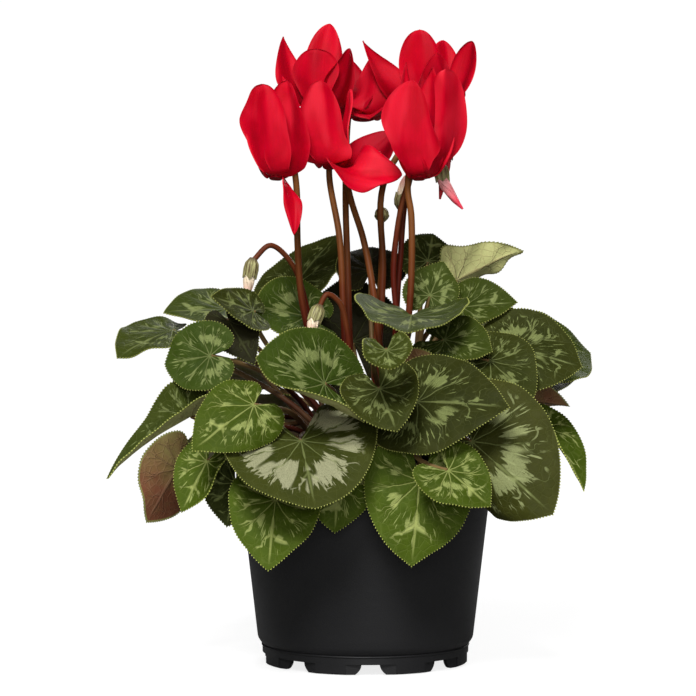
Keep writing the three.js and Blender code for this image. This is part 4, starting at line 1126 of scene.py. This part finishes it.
def find_bows(row, base, nudge, corners):
    """How far the leafstalk was bowed aside and up, from the corners half way along it."""

    def middle(bows):
        line = leafstalk_line(row, base, nudge, bows, CAD_LEAFSTALK_STEPS)
        return rod_points(line, LEAFSTALK_RADII, CAD_LEAFSTALK_SIDES)[LEAFSTALK_MARKS]

    return corners.best([(side, rise) for side in SIDE_BOWS for rise in RISE_BOWS], middle)


def steps_both_ways(most):
    return range(-most, most + 1)


ASIDES = [
    vec(x, y, 0) * ASIDE_STEP for x in steps_both_ways(MOST_ASIDES) for y in steps_both_ways(MOST_ASIDES)
]


def stem_foot(base):
    point, out = base
    return [point + out * distance for distance in STEM_FOOT]


def flower_stalk_points(row, swing, aside):
    mouth, nod = row["mouth"], row["nod"]
    level = facing(row["hook"] + swing, 0)
    neck = mouth - nod * (TUBE_LENGTH + FIT_GAP + CALYX_LENGTH)
    first, *rest = row["via"]
    hook = [mouth + level * out + vec(0, 0, up) for out, up in HOOK]
    over = neck + level * HOOK_END[0] + vec(0, 0, HOOK_END[1])
    return [*stem_foot(row["socket"]), vec(*first) + aside, *rest, *hook, over, neck + nod * STALK_INTO_CALYX]


def bud_stalk_points(row, aside):
    first, *rest = row["via"]
    end = row["centre"] if row["kind"] == "pod" else mix(row["neck"], row["mouth"], 0.2)
    return [*stem_foot(row["socket"]), vec(*first) + aside, *rest, end]


def find_stalk(row, corners):
    """The points of a flower's stalk as it was placed."""

    def marks(choice):
        line = spline(flower_stalk_points(row, *choice), CAD_FLOWER_STALK_STEPS)
        return rod_points(line, FLOWER_STALK_RADII, CAD_STALK_SIDES)[FLOWER_STALK_MARKS]

    choices = [(swing, aside) for swing in HOOK_SWINGS for aside in ASIDES]
    return flower_stalk_points(row, *corners.best(choices, marks))


def find_bud_stalk(row, corners):
    """The points of a bud's or a pod's stalk as it was placed."""

    def marks(aside):
        line = spline(bud_stalk_points(row, aside), CAD_BUD_STALK_STEPS)
        return rod_points(line, BUD_STALK_RADII, CAD_STALK_SIDES)[BUD_STALK_MARKS]

    return bud_stalk_points(row, corners.best(ASIDES, marks))


# Leaf blades, with beaded teeth, sunk veins and a slight unevenness
def rounded_heart(angle, row, sweep):
    """The outline, with the corners beside the cleft rounded off."""
    u, v = heart(angle, row)
    over = np.clip((np.abs(angle) - (sweep - LOBE_ROUNDING)) / LOBE_ROUNDING, 0, 1)
    factor = np.sqrt(1 - LOBE_CUT * over**2)
    return u * factor, v * factor


def edge_angles(row, sweep, length):
    """Angles spread evenly along the outline, four to a tooth, with a tooth at the tip."""
    angles = np.linspace(-sweep, sweep, 2 * HALF_OUTLINE_STEPS + 1)
    far = distances_along(np.stack(rounded_heart(angles, row, sweep), -1))
    teeth = 2 * round(far[-1] * length / TOOTH_PITCH / 2)
    half = np.interp(np.linspace(far[HALF_OUTLINE_STEPS], far[-1], 2 * teeth + 1), far, angles)
    return np.concatenate((-half[:0:-1], half))


def relief(row, x, y, ring, angle, rng):
    """How far the blade stands out of its smooth form: grooves along the veins, and puckers between."""
    swept = np.maximum(np.abs(angle) - VEIN_SWEEP * ring**2, LEAST_SWEEP * np.abs(angle))
    gap = np.abs((swept + VEIN_SPACING / 2) % VEIN_SPACING - VEIN_SPACING / 2)
    groove = np.exp(-((gap * np.hypot(x, y) / VEIN_GROOVE_WIDTH) ** 2)) * smoothstep(ring, 1.0, 0.75)
    pucker = row["rough"] * PUCKER * ripple(x, y, PUCKER_WAVE, rng) * (ring + EDGE_PUCKER * ring**4)
    return pucker - VEIN_GROOVE * groove * smoothstep(ring, 0, 0.2)


def blade_faces(spokes, points):
    """A fan round the middle, bands between the rings, and a band with four steps to a tooth at the rim."""
    faces = [(0, 1 + j, 2 + j) for j in range(spokes - 1)]
    for start in range(1, 1 + (len(RINGS) - 1) * spokes, spokes):
        for j in range(start, start + spokes - 1):
            faces.append((j, j + spokes, j + spokes + 1, j + 1))
    rim_start = 1 + spokes * len(RINGS)
    for j in range(spokes - 1):
        a, p = rim_start - spokes + j, rim_start + 4 * j
        b = a + 1
        faces.extend([(a, p, p + 1), (a, p + 1, p + 2), (a, p + 2, b), (b, p + 2, p + 3), (b, p + 3, p + 4)])
    first_side = range(1, rim_start, spokes)
    last_side = range(rim_start - 1, 0, -spokes)
    return faces, [0, *first_side, *range(rim_start, points), *last_side]


def add_blade(shell, row, nudge, seed):
    placed = blade_frame(row, nudge)
    length = placed[0]
    rng = np.random.default_rng(100 + int(seed * 10))
    sweep = math.pi - math.radians(row["cleft"])
    rim_angles = edge_angles(row, sweep, length)
    spoke_angles = rim_angles[::4]
    offsets = np.array([TOOTH_OFFSETS[k % 4] for k in range(len(rim_angles))])

    def web(inside, rim):
        """Values for the middle, for each ring's spokes and for the rim."""
        return np.concatenate((np.zeros(1), *inside, rim))

    u, v = rounded_heart(rim_angles, row, sweep)
    grown = 1 + offsets / (np.hypot(u, v) * length)
    spoke_u, spoke_v = rounded_heart(spoke_angles, row, sweep)
    u = web([spoke_u * ring for ring in RINGS], u * grown)
    v = web([spoke_v * ring for ring in RINGS], v * grown)
    angle = web([spoke_angles] * len(RINGS), rim_angles)
    ring = web([np.full(len(spoke_u), ring) for ring in RINGS], np.where(offsets > 0.2, 1.0, VALLEY_RING))
    around = ripple(SWING_CIRCLE * np.cos(angle), SWING_CIRCLE * np.sin(angle), SWING_WAVE, rng)
    swing = 1 + OUTLINE_SWING * row["rough"] * ring * around
    u, v = u * swing, v * swing
    points, normals = blade_points(row, placed, u, v, ring, angle)
    points = points + normals * relief(row, u * length, v * length, ring, angle, rng)[:, None]
    faces, rim = blade_faces(len(spoke_angles), len(u))
    places = np.stack((u * length, v * length, ring), -1)
    lightness_and_shade, silver, red, olive = TONES[row["tone"]]
    sides = np.repeat([(lightness_and_shade, silver, olive), (lightness_and_shade, silver, red)], len(u), axis=0)
    sheet(shell, points, normals, faces, rim, BLADE_THICKNESS, (0, 1), places, sides, seed)


def build_leaf(index, rows, base):
    node = f"leaf_{index:02d}"
    corners = Corners(node)
    shell = Shell()
    for k, row in enumerate(rows):
        seed = index * 1.37 + k * 0.61
        nudge = find_nudge(row, corners)
        bows = find_bows(row, base, nudge, corners)
        add_blade(shell, row, nudge, seed)
        line = leafstalk_line(row, base, nudge, bows, LEAFSTALK_STEPS)
        brown = 0.3 + 0.5 * (seed % 1)
        rod(shell, line, LEAFSTALK_RADII, LEAFSTALK_SIDES, 2, (brown, 0, 0), seed)
    young = rows[0]["tone"] in ("young", "bright")
    materials = (YOUNG_TOP, YOUNG_UNDER, LEAFSTALK) if young else (LEAF_TOP, LEAF_UNDER, LEAFSTALK)
    shell.piece(f"{node}_foliage", materials, node)


# Petals
def petal_half_width(t, widest, point):
    """One side's share of the full half width: narrow at the foot, widest at a given share of the length."""
    rise = point * (widest + PETAL_FOOT) / (1 - widest)
    shape = np.maximum(1 - t, 0) ** point * (t + PETAL_FOOT) ** rise
    return np.maximum(shape / ((1 - widest) ** point * (widest + PETAL_FOOT) ** rise), 0.02)


def uneven(t, trims, rng):
    """A side's trims, with slow swings about them."""
    first, second = rng.uniform(0, 2 * math.pi, 2)
    at, trims = np.array(TRIM_AT), np.array(trims)
    i = np.clip(np.searchsorted(at, t) - 1, 0, len(at) - 2)
    trim = mix(trims[i], trims[i + 1], smoothstep(t, at[i], at[i + 1]))
    return trim + 0.06 * np.sin(7 * t + first) + 0.04 * np.sin(15 * t + second)


def petal_frames(bloom, row, curve, t):
    """The ways across the petal and out of its back along its middle line."""
    nod = bloom["nod"]
    side = square_to(facing(row["side"], 0), nod)
    slope = unit(bezier(curve, np.minimum(t + 0.01, 1)) - bezier(curve, np.maximum(t - 0.01, 0)))
    start = unit(np.cross(side, nod))
    end = unit(np.cross(row["face"], slope[-1]))
    if end @ start < 0:
        end = -end
    across = square_to(mix(start, end, smoothstep(t, 0.1, 0.75)[:, None]), slope)
    out = np.cross(slope, across)
    twist = (row["twist"] * smoothstep(t, 0.15, 1.0))[:, None]
    return across * np.cos(twist) + out * np.sin(twist), out * np.cos(twist) - across * np.sin(twist)


def petal_rim():
    """The edge of the petal's grid, all the way round."""
    rows, columns = PETAL_ROWS, PETAL_COLUMNS
    last = (rows - 1) * columns
    left, tip = range(0, last + 1, columns), range(last + 1, last + columns)
    right, foot = range(last - 1, 0, -columns), range(columns - 2, 0, -1)
    return [*left, *tip, *right, *foot]


def add_petal(shell, bloom, row, seed):
    rng = np.random.default_rng(int(seed * 100))
    mouth, nod = bloom["mouth"], bloom["nod"]
    level = facing(row["side"], 0)
    side = square_to(level, nod)
    foot = mouth + side * THROAT_RADIUS - nod * PETAL_SINK
    rise = foot + nod * PETAL_RISE + side * PETAL_SPREAD
    curve = (foot, rise, mix(mouth, row["tip"], BELLY_AT) + level * row["belly"], row["tip"])
    t = 1 - (1 - np.linspace(0, 1, PETAL_ROWS)) ** ROW_CROWDING
    s = np.linspace(-1, 1, PETAL_COLUMNS)
    across, out = petal_frames(bloom, row, curve, t)
    halves = [
        row["width"] / 2 * (petal_half_width(t, widest, row["point"]) * uneven(t, trims, rng))[:, None]
        for widest, trims in zip(row["widest"], row["trims"])
    ]
    half = np.where(s < 0, *halves)
    reach = np.linalg.norm(row["tip"] - mouth)
    offset = half * s
    upper = smoothstep(t, 0.25, 0.7)[:, None]
    from_crease = s - rng.choice((-1, 1)) * rng.uniform(*CREASE_PLACES)
    crease = rng.uniform(*CREASE_DEPTHS) * (np.sqrt(from_crease**2 + CREASE_SOFTNESS) - CREASE_DROP)
    camber = half * (CAMBER * s**2 + crease * upper)
    ruffle = ripple(t[:, None] * reach, offset, RUFFLE_WAVE, rng) * (RUFFLE + EDGE_RUFFLE * s**2) * upper
    curl = -EDGE_CURL * half * np.abs(s) ** 5 * upper
    points = bezier(curve, t)[:, None] + across[:, None] * offset[..., None]
    points = points + out[:, None] * (camber + ruffle + curl)[..., None]
    normals = unit(out[:, None] - across[:, None] * (EDGE_LEAN * s)[:, None]).reshape(-1, 3)
    faces = [tuple(reversed(face)) for face in grid_faces(PETAL_ROWS, PETAL_COLUMNS)]
    places = np.stack(np.broadcast_arrays(t[:, None] * reach, offset, t[:, None]), -1).reshape(-1, 3)
    edge = np.maximum(np.abs(s)[None, :] * np.ones_like(t)[:, None], smoothstep(t, 0.8, 1.0)[:, None])
    # The tint carries the edge mask and the petal's painted shade
    tint = np.stack((edge, edge * 0 + row["painted_shade"], edge * 0), -1).reshape(-1, 3)
    tint = np.concatenate((tint, tint))
    points = points.reshape(-1, 3)
    sheet(shell, points, normals, faces, petal_rim(), PETAL_THICKNESS, (0, 0), places, tint, seed)


def build_bloom(index, bloom):
    node = f"flower_{bloom['name']}"
    shell = Shell()
    for k, row in enumerate(bloom["petals"]):
        add_petal(shell, bloom, row, 1 + index + k * 0.17)
    line = bloom["mouth"] + bloom["nod"] * np.linspace(0.6, -TUBE_LENGTH, TUBE_STEPS)[:, None]
    lobes = 1 + 0.05 * np.cos(PETALS * turns_round(TUBE_SIDES))
    rod(shell, line, TUBE_RADII, TUBE_SIDES, 0, seed=index, bulge=lobes)
    shell.piece(f"{node}_bloom", (PETAL,), node)


# Calyxes: a ribbed cup with five pointed sepals
def add_calyx(shell, neck, mouth, radii, look, seed):
    """A cup from the neck to the mouth, whose rim runs out into points."""
    turns = turns_round(CALYX_SIDES)
    axis = mouth - neck
    length = np.linalg.norm(axis)
    t = np.linspace(0, 1, CALYX_STEPS)[:, None]
    line = neck + axis * t
    ribs = 1 + 0.05 * np.cos(SEPALS * 2 * turns)
    sepals = np.abs(((turns * SEPALS / math.pi) % 2) - 1)
    points = unit(axis) * (sepals * smoothstep(t, SEPAL_START, 1) * length * SEPAL_LENGTH)[..., None]
    outer, inner = (
        rod_points(line, wall, CALYX_SIDES, ribs) + points for wall in (radii, np.asarray(radii) - CALYX_WALL)
    )
    far = np.concatenate((t, t[::-1])) * length
    places = np.stack(np.broadcast_arrays(far, turns * radii[len(radii) // 2], far / length), -1)
    cup = np.concatenate((outer, inner[::-1]))
    shell.add(cup, closed_faces(2 * CALYX_STEPS, CALYX_SIDES), look, places, (0, 0, 0), seed)


def build_flower_stalk(index, row):
    node = f"stalk_{row['name']}"
    line = spline(find_stalk(row, Corners(node)), STALK_STEPS)
    shell = Shell()
    rod(shell, line, FLOWER_STALK_RADII, STALK_SIDES, 0, (STALK_BROWNS[index], 0, 0), 3 + index * 0.7)
    crown = row["mouth"] - row["nod"] * (TUBE_LENGTH + FIT_GAP)
    add_calyx(shell, crown - row["nod"] * CALYX_LENGTH, crown, FLOWER_CALYX, 1, index)
    shell.piece(f"{node}_stem", (STALK, CALYX), node)


def build_bud_stalk(index, row):
    node = f"bud_stalk_{row['name']}"
    line = spline(find_bud_stalk(row, Corners(node)), STALK_STEPS)
    shell = Shell()
    rod(shell, line, BUD_STALK_RADII, STALK_SIDES, 0, (BUD_STALK_BROWN, 0, 0), 9 + index * 0.7)
    add_calyx(shell, row["neck"], row["mouth"], BUD_CALYX, 1, 20 + index)
    shell.piece(f"{node}_stem", (STALK, CALYX), node)


# Furled petals: five that wind round each other to a point
def build_bud(index, row):
    node = f"bud_{row['name']}"
    axis = unit(row["mouth"] - row["neck"])
    start = row["mouth"] - axis * 1.5
    middle = row["mouth"] + axis * 4
    t = np.linspace(0, 1, BUD_STEPS)
    line = bezier((start, mix(start, middle, 0.6), mix(middle, row["tip"], 0.3), row["tip"]), t)
    wound = (turns_round(BUD_SIDES) + BUD_WINDING * t[:, None]) * PETALS / (2 * math.pi)
    shell = Shell()
    rod(shell, line, BUD_RADII, BUD_SIDES, 0, seed=30 + index, bulge=0.88 + 0.2 * (wound % 1))
    shell.piece(f"{node}_petals", (row["skin"],), node, sharp=35)


def build_pod(row):
    centre, radius = row["centre"], row["radius"]
    shell = Shell()
    stalk = spline(find_bud_stalk(row, Corners("seed_pod")), STALK_STEPS)
    rod(shell, stalk, BUD_STALK_RADII, STALK_SIDES, 0, (0.4, 0, 0), 15)
    turn = math.pi * np.linspace(0, 1, POD_STEPS)
    line = centre - vec(0, 0, radius) * np.cos(turn)[:, None]
    lobes = 1 + 0.05 * np.cos(2 * PETALS * turns_round(POD_SIDES)) * np.sin(turn)[:, None]
    rod(shell, line, np.maximum(radius * np.sin(turn), 0.05), POD_SIDES, 1, seed=41, bulge=lobes)
    neck, mouth = (centre - vec(0, 0, drop) for drop in POD_CALYX_DROPS)
    add_calyx(shell, neck, mouth, POD_CALYX, 1, 42)
    shell.piece("seed_pod_fruit", (STALK, CALYX), "seed_pod")


# Pot
def solid_object(name, rings):
    """A closed body whose rings of points run from one end of the axis to the other."""
    return place_mesh(name, (rings * MM).reshape(-1, 3).tolist(), closed_faces(*rings.shape[:2]))


def prism(name, outline, depth, turn, distance):
    """An upright outline of (x, z) pairs, pushed through the wall at a turn round the pot."""
    sine, cosine = math.sin(math.radians(turn)), math.cos(math.radians(turn))
    points = [
        ((x * cosine - y * sine) * MM, (x * sine + y * cosine) * MM, z * MM)
        for y in (-distance, -distance + depth)
        for x, z in outline
    ]
    count = len(outline)
    faces = [tuple(range(count)), tuple(reversed(range(count, 2 * count)))]
    faces += [((i + 1) % count, i, i + count, (i + 1) % count + count) for i in range(count)]
    return place_mesh(name, points, faces)


def notch_outline():
    """A low arch with flanks that flare out to the floor."""
    right = [(NOTCH_BOTTOM_WIDTH / 2, -1)]
    for t in np.linspace(0, 1, 9):
        flare = (NOTCH_BOTTOM_WIDTH - NOTCH_TOP_WIDTH) / 2 * (1 - t) ** NOTCH_FLARE
        right.append((NOTCH_TOP_WIDTH / 2 + flare, NOTCH_HEIGHT * t))
    return [*right, *((-x, z) for x, z in reversed(right))]


def cut(body, cutters):
    """Takes the cutters out of a body and removes them."""
    cutter = cutters[0]
    with bpy.context.temp_override(active_object=cutter, selected_editable_objects=cutters):
        bpy.ops.object.join()
    modifier = body.modifiers.new("cut", "BOOLEAN")
    modifier.operation = "DIFFERENCE"
    modifier.solver = "EXACT"
    modifier.object = cutter
    graph = bpy.context.evaluated_depsgraph_get()
    mesh = bpy.data.meshes.new_from_object(body.evaluated_get(graph))
    body.modifiers.clear()
    body.data = mesh
    bpy.data.objects.remove(cutter)


def pot_profile():
    """From the floor's under side, out and up over the rim and down the inside. Small offsets round edges."""
    foot, ledge, rim = POT_FOOT_RADIUS, POT_FOOT_HEIGHT, POT_RIM_RADIUS
    low, high = POT_BODY_BOTTOM_RADIUS, POT_BODY_TOP_RADIUS
    hollow = foot - POT_FOOT_WIDTH
    band = POT_HEIGHT - POT_RIM_BAND
    foot_ring = [
        (NEAR_AXIS, POT_FLOOR_HEIGHT), (hollow, POT_FLOOR_HEIGHT), (hollow, 0.5), (hollow + 0.5, 0),
        (foot - 0.6, 0), (foot, 0.6), (foot + 0.1, ledge - 0.9), (foot + 0.5, ledge - 0.6),
        (foot + 0.55, ledge - 0.3), (foot + 0.35, ledge), (foot, ledge + 0.2), (low - 1.1, ledge + 1.6),
        (low - 0.2, ledge + 3.1), (low + 0.1, ledge + 4.2),
    ]
    wall = [(mix(low + 0.1, high, t), mix(ledge + 4.2, band - 1.4, t)) for t in np.linspace(0.06, 1, 16)]
    rim_band = [
        (high + 0.5, band - 0.9), (rim - 0.6, band - 0.1), (rim - 0.25, band + 0.8), (rim, POT_HEIGHT - 0.6),
        (rim - 0.4, POT_HEIGHT), (rim - POT_WALL + 0.3, POT_HEIGHT), (rim - POT_WALL, POT_HEIGHT - 0.5),
    ]
    inside = [
        (rim - 0.3 - POT_WALL, band + 1), (high - POT_WALL, band - 1), (low - POT_WALL, ledge + 4),
        (foot - POT_WALL, POT_FLOOR_TOP), (NEAR_AXIS, POT_FLOOR_TOP),
    ]
    return foot_ring + wall + rim_band + inside


def build_pot():
    body = solid_object("pot_body", lathe(pot_profile(), POT_SEGMENTS))
    turns = [NOTCH_TURN + i * 360 / NOTCHES for i in range(NOTCHES)]
    half = RECESS_WIDTH / 2
    panel = [(half, -1), (half, NOTCH_HEIGHT), (-half, NOTCH_HEIGHT), (-half, -1)]
    reach = math.sqrt(POT_FOOT_RADIUS**2 - half**2)
    cut(body, [prism("recess", panel, 3, turn, reach - RECESS_DEPTH + 3) for turn in turns])
    cut(body, [prism("notch", notch_outline(), 14, turn, POT_FOOT_RADIUS + 4) for turn in turns])
    drains = []
    for i in range(DRAIN_HOLES):
        turn = math.radians(NOTCH_TURN + (i + 0.5) * 360 / DRAIN_HOLES)
        middle = vec(DRAIN_RING * math.sin(turn), -DRAIN_RING * math.cos(turn), 0)
        line = np.array((middle, middle + vec(0, 0, 2 * POT_FLOOR_TOP)))
        drains.append(solid_object("drain", rod_points(line, (DRAIN_RADIUS, DRAIN_RADIUS), DRAIN_SIDES)))
    cut(body, drains)
    body.data.materials.clear()
    shade(body.data, (POT,), 24)
    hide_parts("pot")
    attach(body, "root")


# Soil: a crumbly top with loose crumbs on it
def soil_height(radius):
    return SOIL_TOP + (SOIL_EDGE_TOP - SOIL_TOP) * smoothstep(radius, TUBER_RADIUS + 11, SOIL_RADIUS - 3)


def build_soil():
    rng = np.random.default_rng(7)
    bottom = POT_FLOOR_TOP + FIT_GAP
    under_tuber = TUBER_CENTRE - TUBER_HALF_HEIGHT - FIT_GAP
    radii = np.linspace(SOIL_RADIUS - 0.6, SOIL_PIT, 34)
    profile = [
        (NEAR_AXIS, bottom),
        (POT_FOOT_RADIUS - SOIL_INSET, bottom),
        (POT_BODY_BOTTOM_RADIUS - SOIL_INSET, POT_FOOT_HEIGHT + 4),
        (SOIL_RADIUS, SOIL_EDGE_TOP - 1.5),
        *zip(radii, soil_height(radii)),
        (SOIL_PIT - 2, TUBER_CENTRE - 3),
        (TUBER_RADIUS * 0.7, under_tuber + 1.7),
        (NEAR_AXIS, under_tuber),
    ]
    rings = lathe(profile, 180)
    top = rings[4 : 4 + len(radii)]
    x, y = top[..., 0], top[..., 1]
    top[..., 2] += 0.7 * ripple(x, y, 9, rng) + 0.5 * ripple(x, y, 3.4, rng) + rng.uniform(-0.3, 0.3, x.shape)
    shell = Shell()
    shell.add(rings, closed_faces(*rings.shape[:2]), 0, rings)
    for _ in range(SOIL_CRUMBS):
        radius, turn = rng.uniform(SOIL_PIT + 2, SOIL_RADIUS - 3), rng.uniform(0, 2 * math.pi)
        middle = vec(radius * math.cos(turn), radius * math.sin(turn), float(soil_height(radius)) + 0.5)
        crumb = np.array(CRUMB_SHAPE) * rng.uniform(0.5, 1.9, 3) * rng.uniform(0.8, 1.2, (6, 1))
        shell.add(middle + crumb, CRUMB_FACES, 0, middle + crumb)
    shell.piece("soil_mix", (SOIL,), "soil", sharp=60)


# Tuber: a lumpy corm with a knobbly crown
def build_tuber():
    rng = np.random.default_rng(11)
    top, bottom = TUBER_CENTRE + TUBER_HALF_HEIGHT, TUBER_CENTRE - TUBER_HALF_HEIGHT
    corners = [
        (NEAR_AXIS, bottom), (TUBER_RADIUS * 0.7, bottom + 2), (TUBER_RADIUS, TUBER_CENTRE),
        (CROWN_RADIUS + 1.5, top - 2.5), (CROWN_RADIUS - 0.5, top - 0.3), (NEAR_AXIS, top),
    ]
    profile = []
    for (r0, z0), (r1, z1) in zip(corners, corners[1:]):
        profile += [(mix(r0, r1, t), mix(z0, z1, t)) for t in np.linspace(0, 1, 9)[:-1]]
    rings = lathe([*profile, corners[-1]], 120)
    x, y, z = rings[..., 0], rings[..., 1], rings[..., 2]
    upper = smoothstep(z, TUBER_CENTRE, top)
    rings[..., 2] += upper * (0.5 * ripple(x, y, 7, rng) + 0.3 * ripple(x, y, 3, rng) - 0.5)
    shell = Shell()
    shell.add(rings, closed_faces(*rings.shape[:2]), 0, rings)
    shell.piece("tuber_corm", (TUBER,), "tuber", sharp=60)


# Assembly
stems = [{**row, "goal": row["via"][1]} for row in FLOWERS + BUDS + [POD]]
stems += [{"kind": "leaf", "leaves": rows, "goal": rows[0]["at"]} for rows in LEAVES]
share_sockets(stems)
flowers, buds, pods, leaves = (
    [stem for stem in stems if stem["kind"] == kind] for kind in ("flower", "bud", "pod", "leaf")
)

build_pot()
build_soil()
build_tuber()
for index, stem in enumerate(flowers):
    build_bloom(index, stem)
    build_flower_stalk(index, stem)
for index, stem in enumerate(buds):
    build_bud(index, stem)
    build_bud_stalk(index, stem)
build_pod(pods[0])
for index, stem in enumerate(leaves, 1):
    build_leaf(index, stem["leaves"], stem["socket"])


# Stage: a pale floor, soft lights and the camera at the photograph's viewpoint
def build_floor():
    corners = [(x * FLOOR_HALF, y * FLOOR_HALF, 0) for x, y in ((-1, -1), (1, -1), (1, 1), (-1, 1))]
    floor = place_mesh("floor", corners, [(0, 1, 2, 3)])
    floor.location.z = FLOOR_DROP
    material, w, shader = new_material("pale_floor")
    away = w.read(w.node("ShaderNodeVectorMath", {0: w.spot()}, operation="LENGTH"), "Value")
    fade = w.step(away, 0.2, 1.0)
    w.put(w.blend(fade, (0.3, 0.3, 0.3, 1), (0.0, 0.0, 0.0, 1)), shader.inputs["Base Color"])
    shader.inputs["Emission Color"].default_value = (1, 1, 1, 1)
    w.put((0.8 + fade * 0.22) * w.camera_ray(), shader.inputs["Emission Strength"])
    shader.inputs["Roughness"].default_value = 0.8
    shader.inputs["Specular IOR Level"].default_value = 0.1
    floor.data.materials.append(material)


def build_lights():
    world = bpy.data.worlds.new("studio")
    bpy.context.scene.world = world
    world.use_nodes = True
    w = Wiring(world.node_tree)
    background = world.node_tree.nodes["Background"]
    background.inputs["Color"].default_value = (1, 1, 1, 1)
    w.put(0.035 + w.camera_ray() * 0.985, background.inputs["Strength"])
    for name, place, aim, size, power in LIGHTS:
        light = bpy.data.lights.new(name, "AREA")
        light.shape, light.size, light.energy = "DISK", size, power
        lamp = bpy.data.objects.new(name, light)
        bpy.context.scene.collection.objects.link(lamp)
        lamp.location = place
        lamp.rotation_mode = "QUATERNION"
        lamp.rotation_quaternion = Vector(vec(*aim) - vec(*place)).to_track_quat("-Z", "Y")


def build_camera():
    camera = bpy.data.cameras.new("camera")
    camera.sensor_width = SENSOR
    camera.lens = SENSOR * FOCAL_PIXELS / PHOTO_PIXELS
    camera.clip_end = 100
    eye = bpy.data.objects.new("camera", camera)
    eye.location = CAMERA_PLACE
    eye.rotation_euler = (math.radians(90 - CAMERA_DIP), 0, 0)
    bpy.context.scene.collection.objects.link(eye)
    bpy.context.scene.camera = eye
    bpy.context.scene.view_settings.view_transform = "Standard"


build_floor()
build_lights()
build_camera()
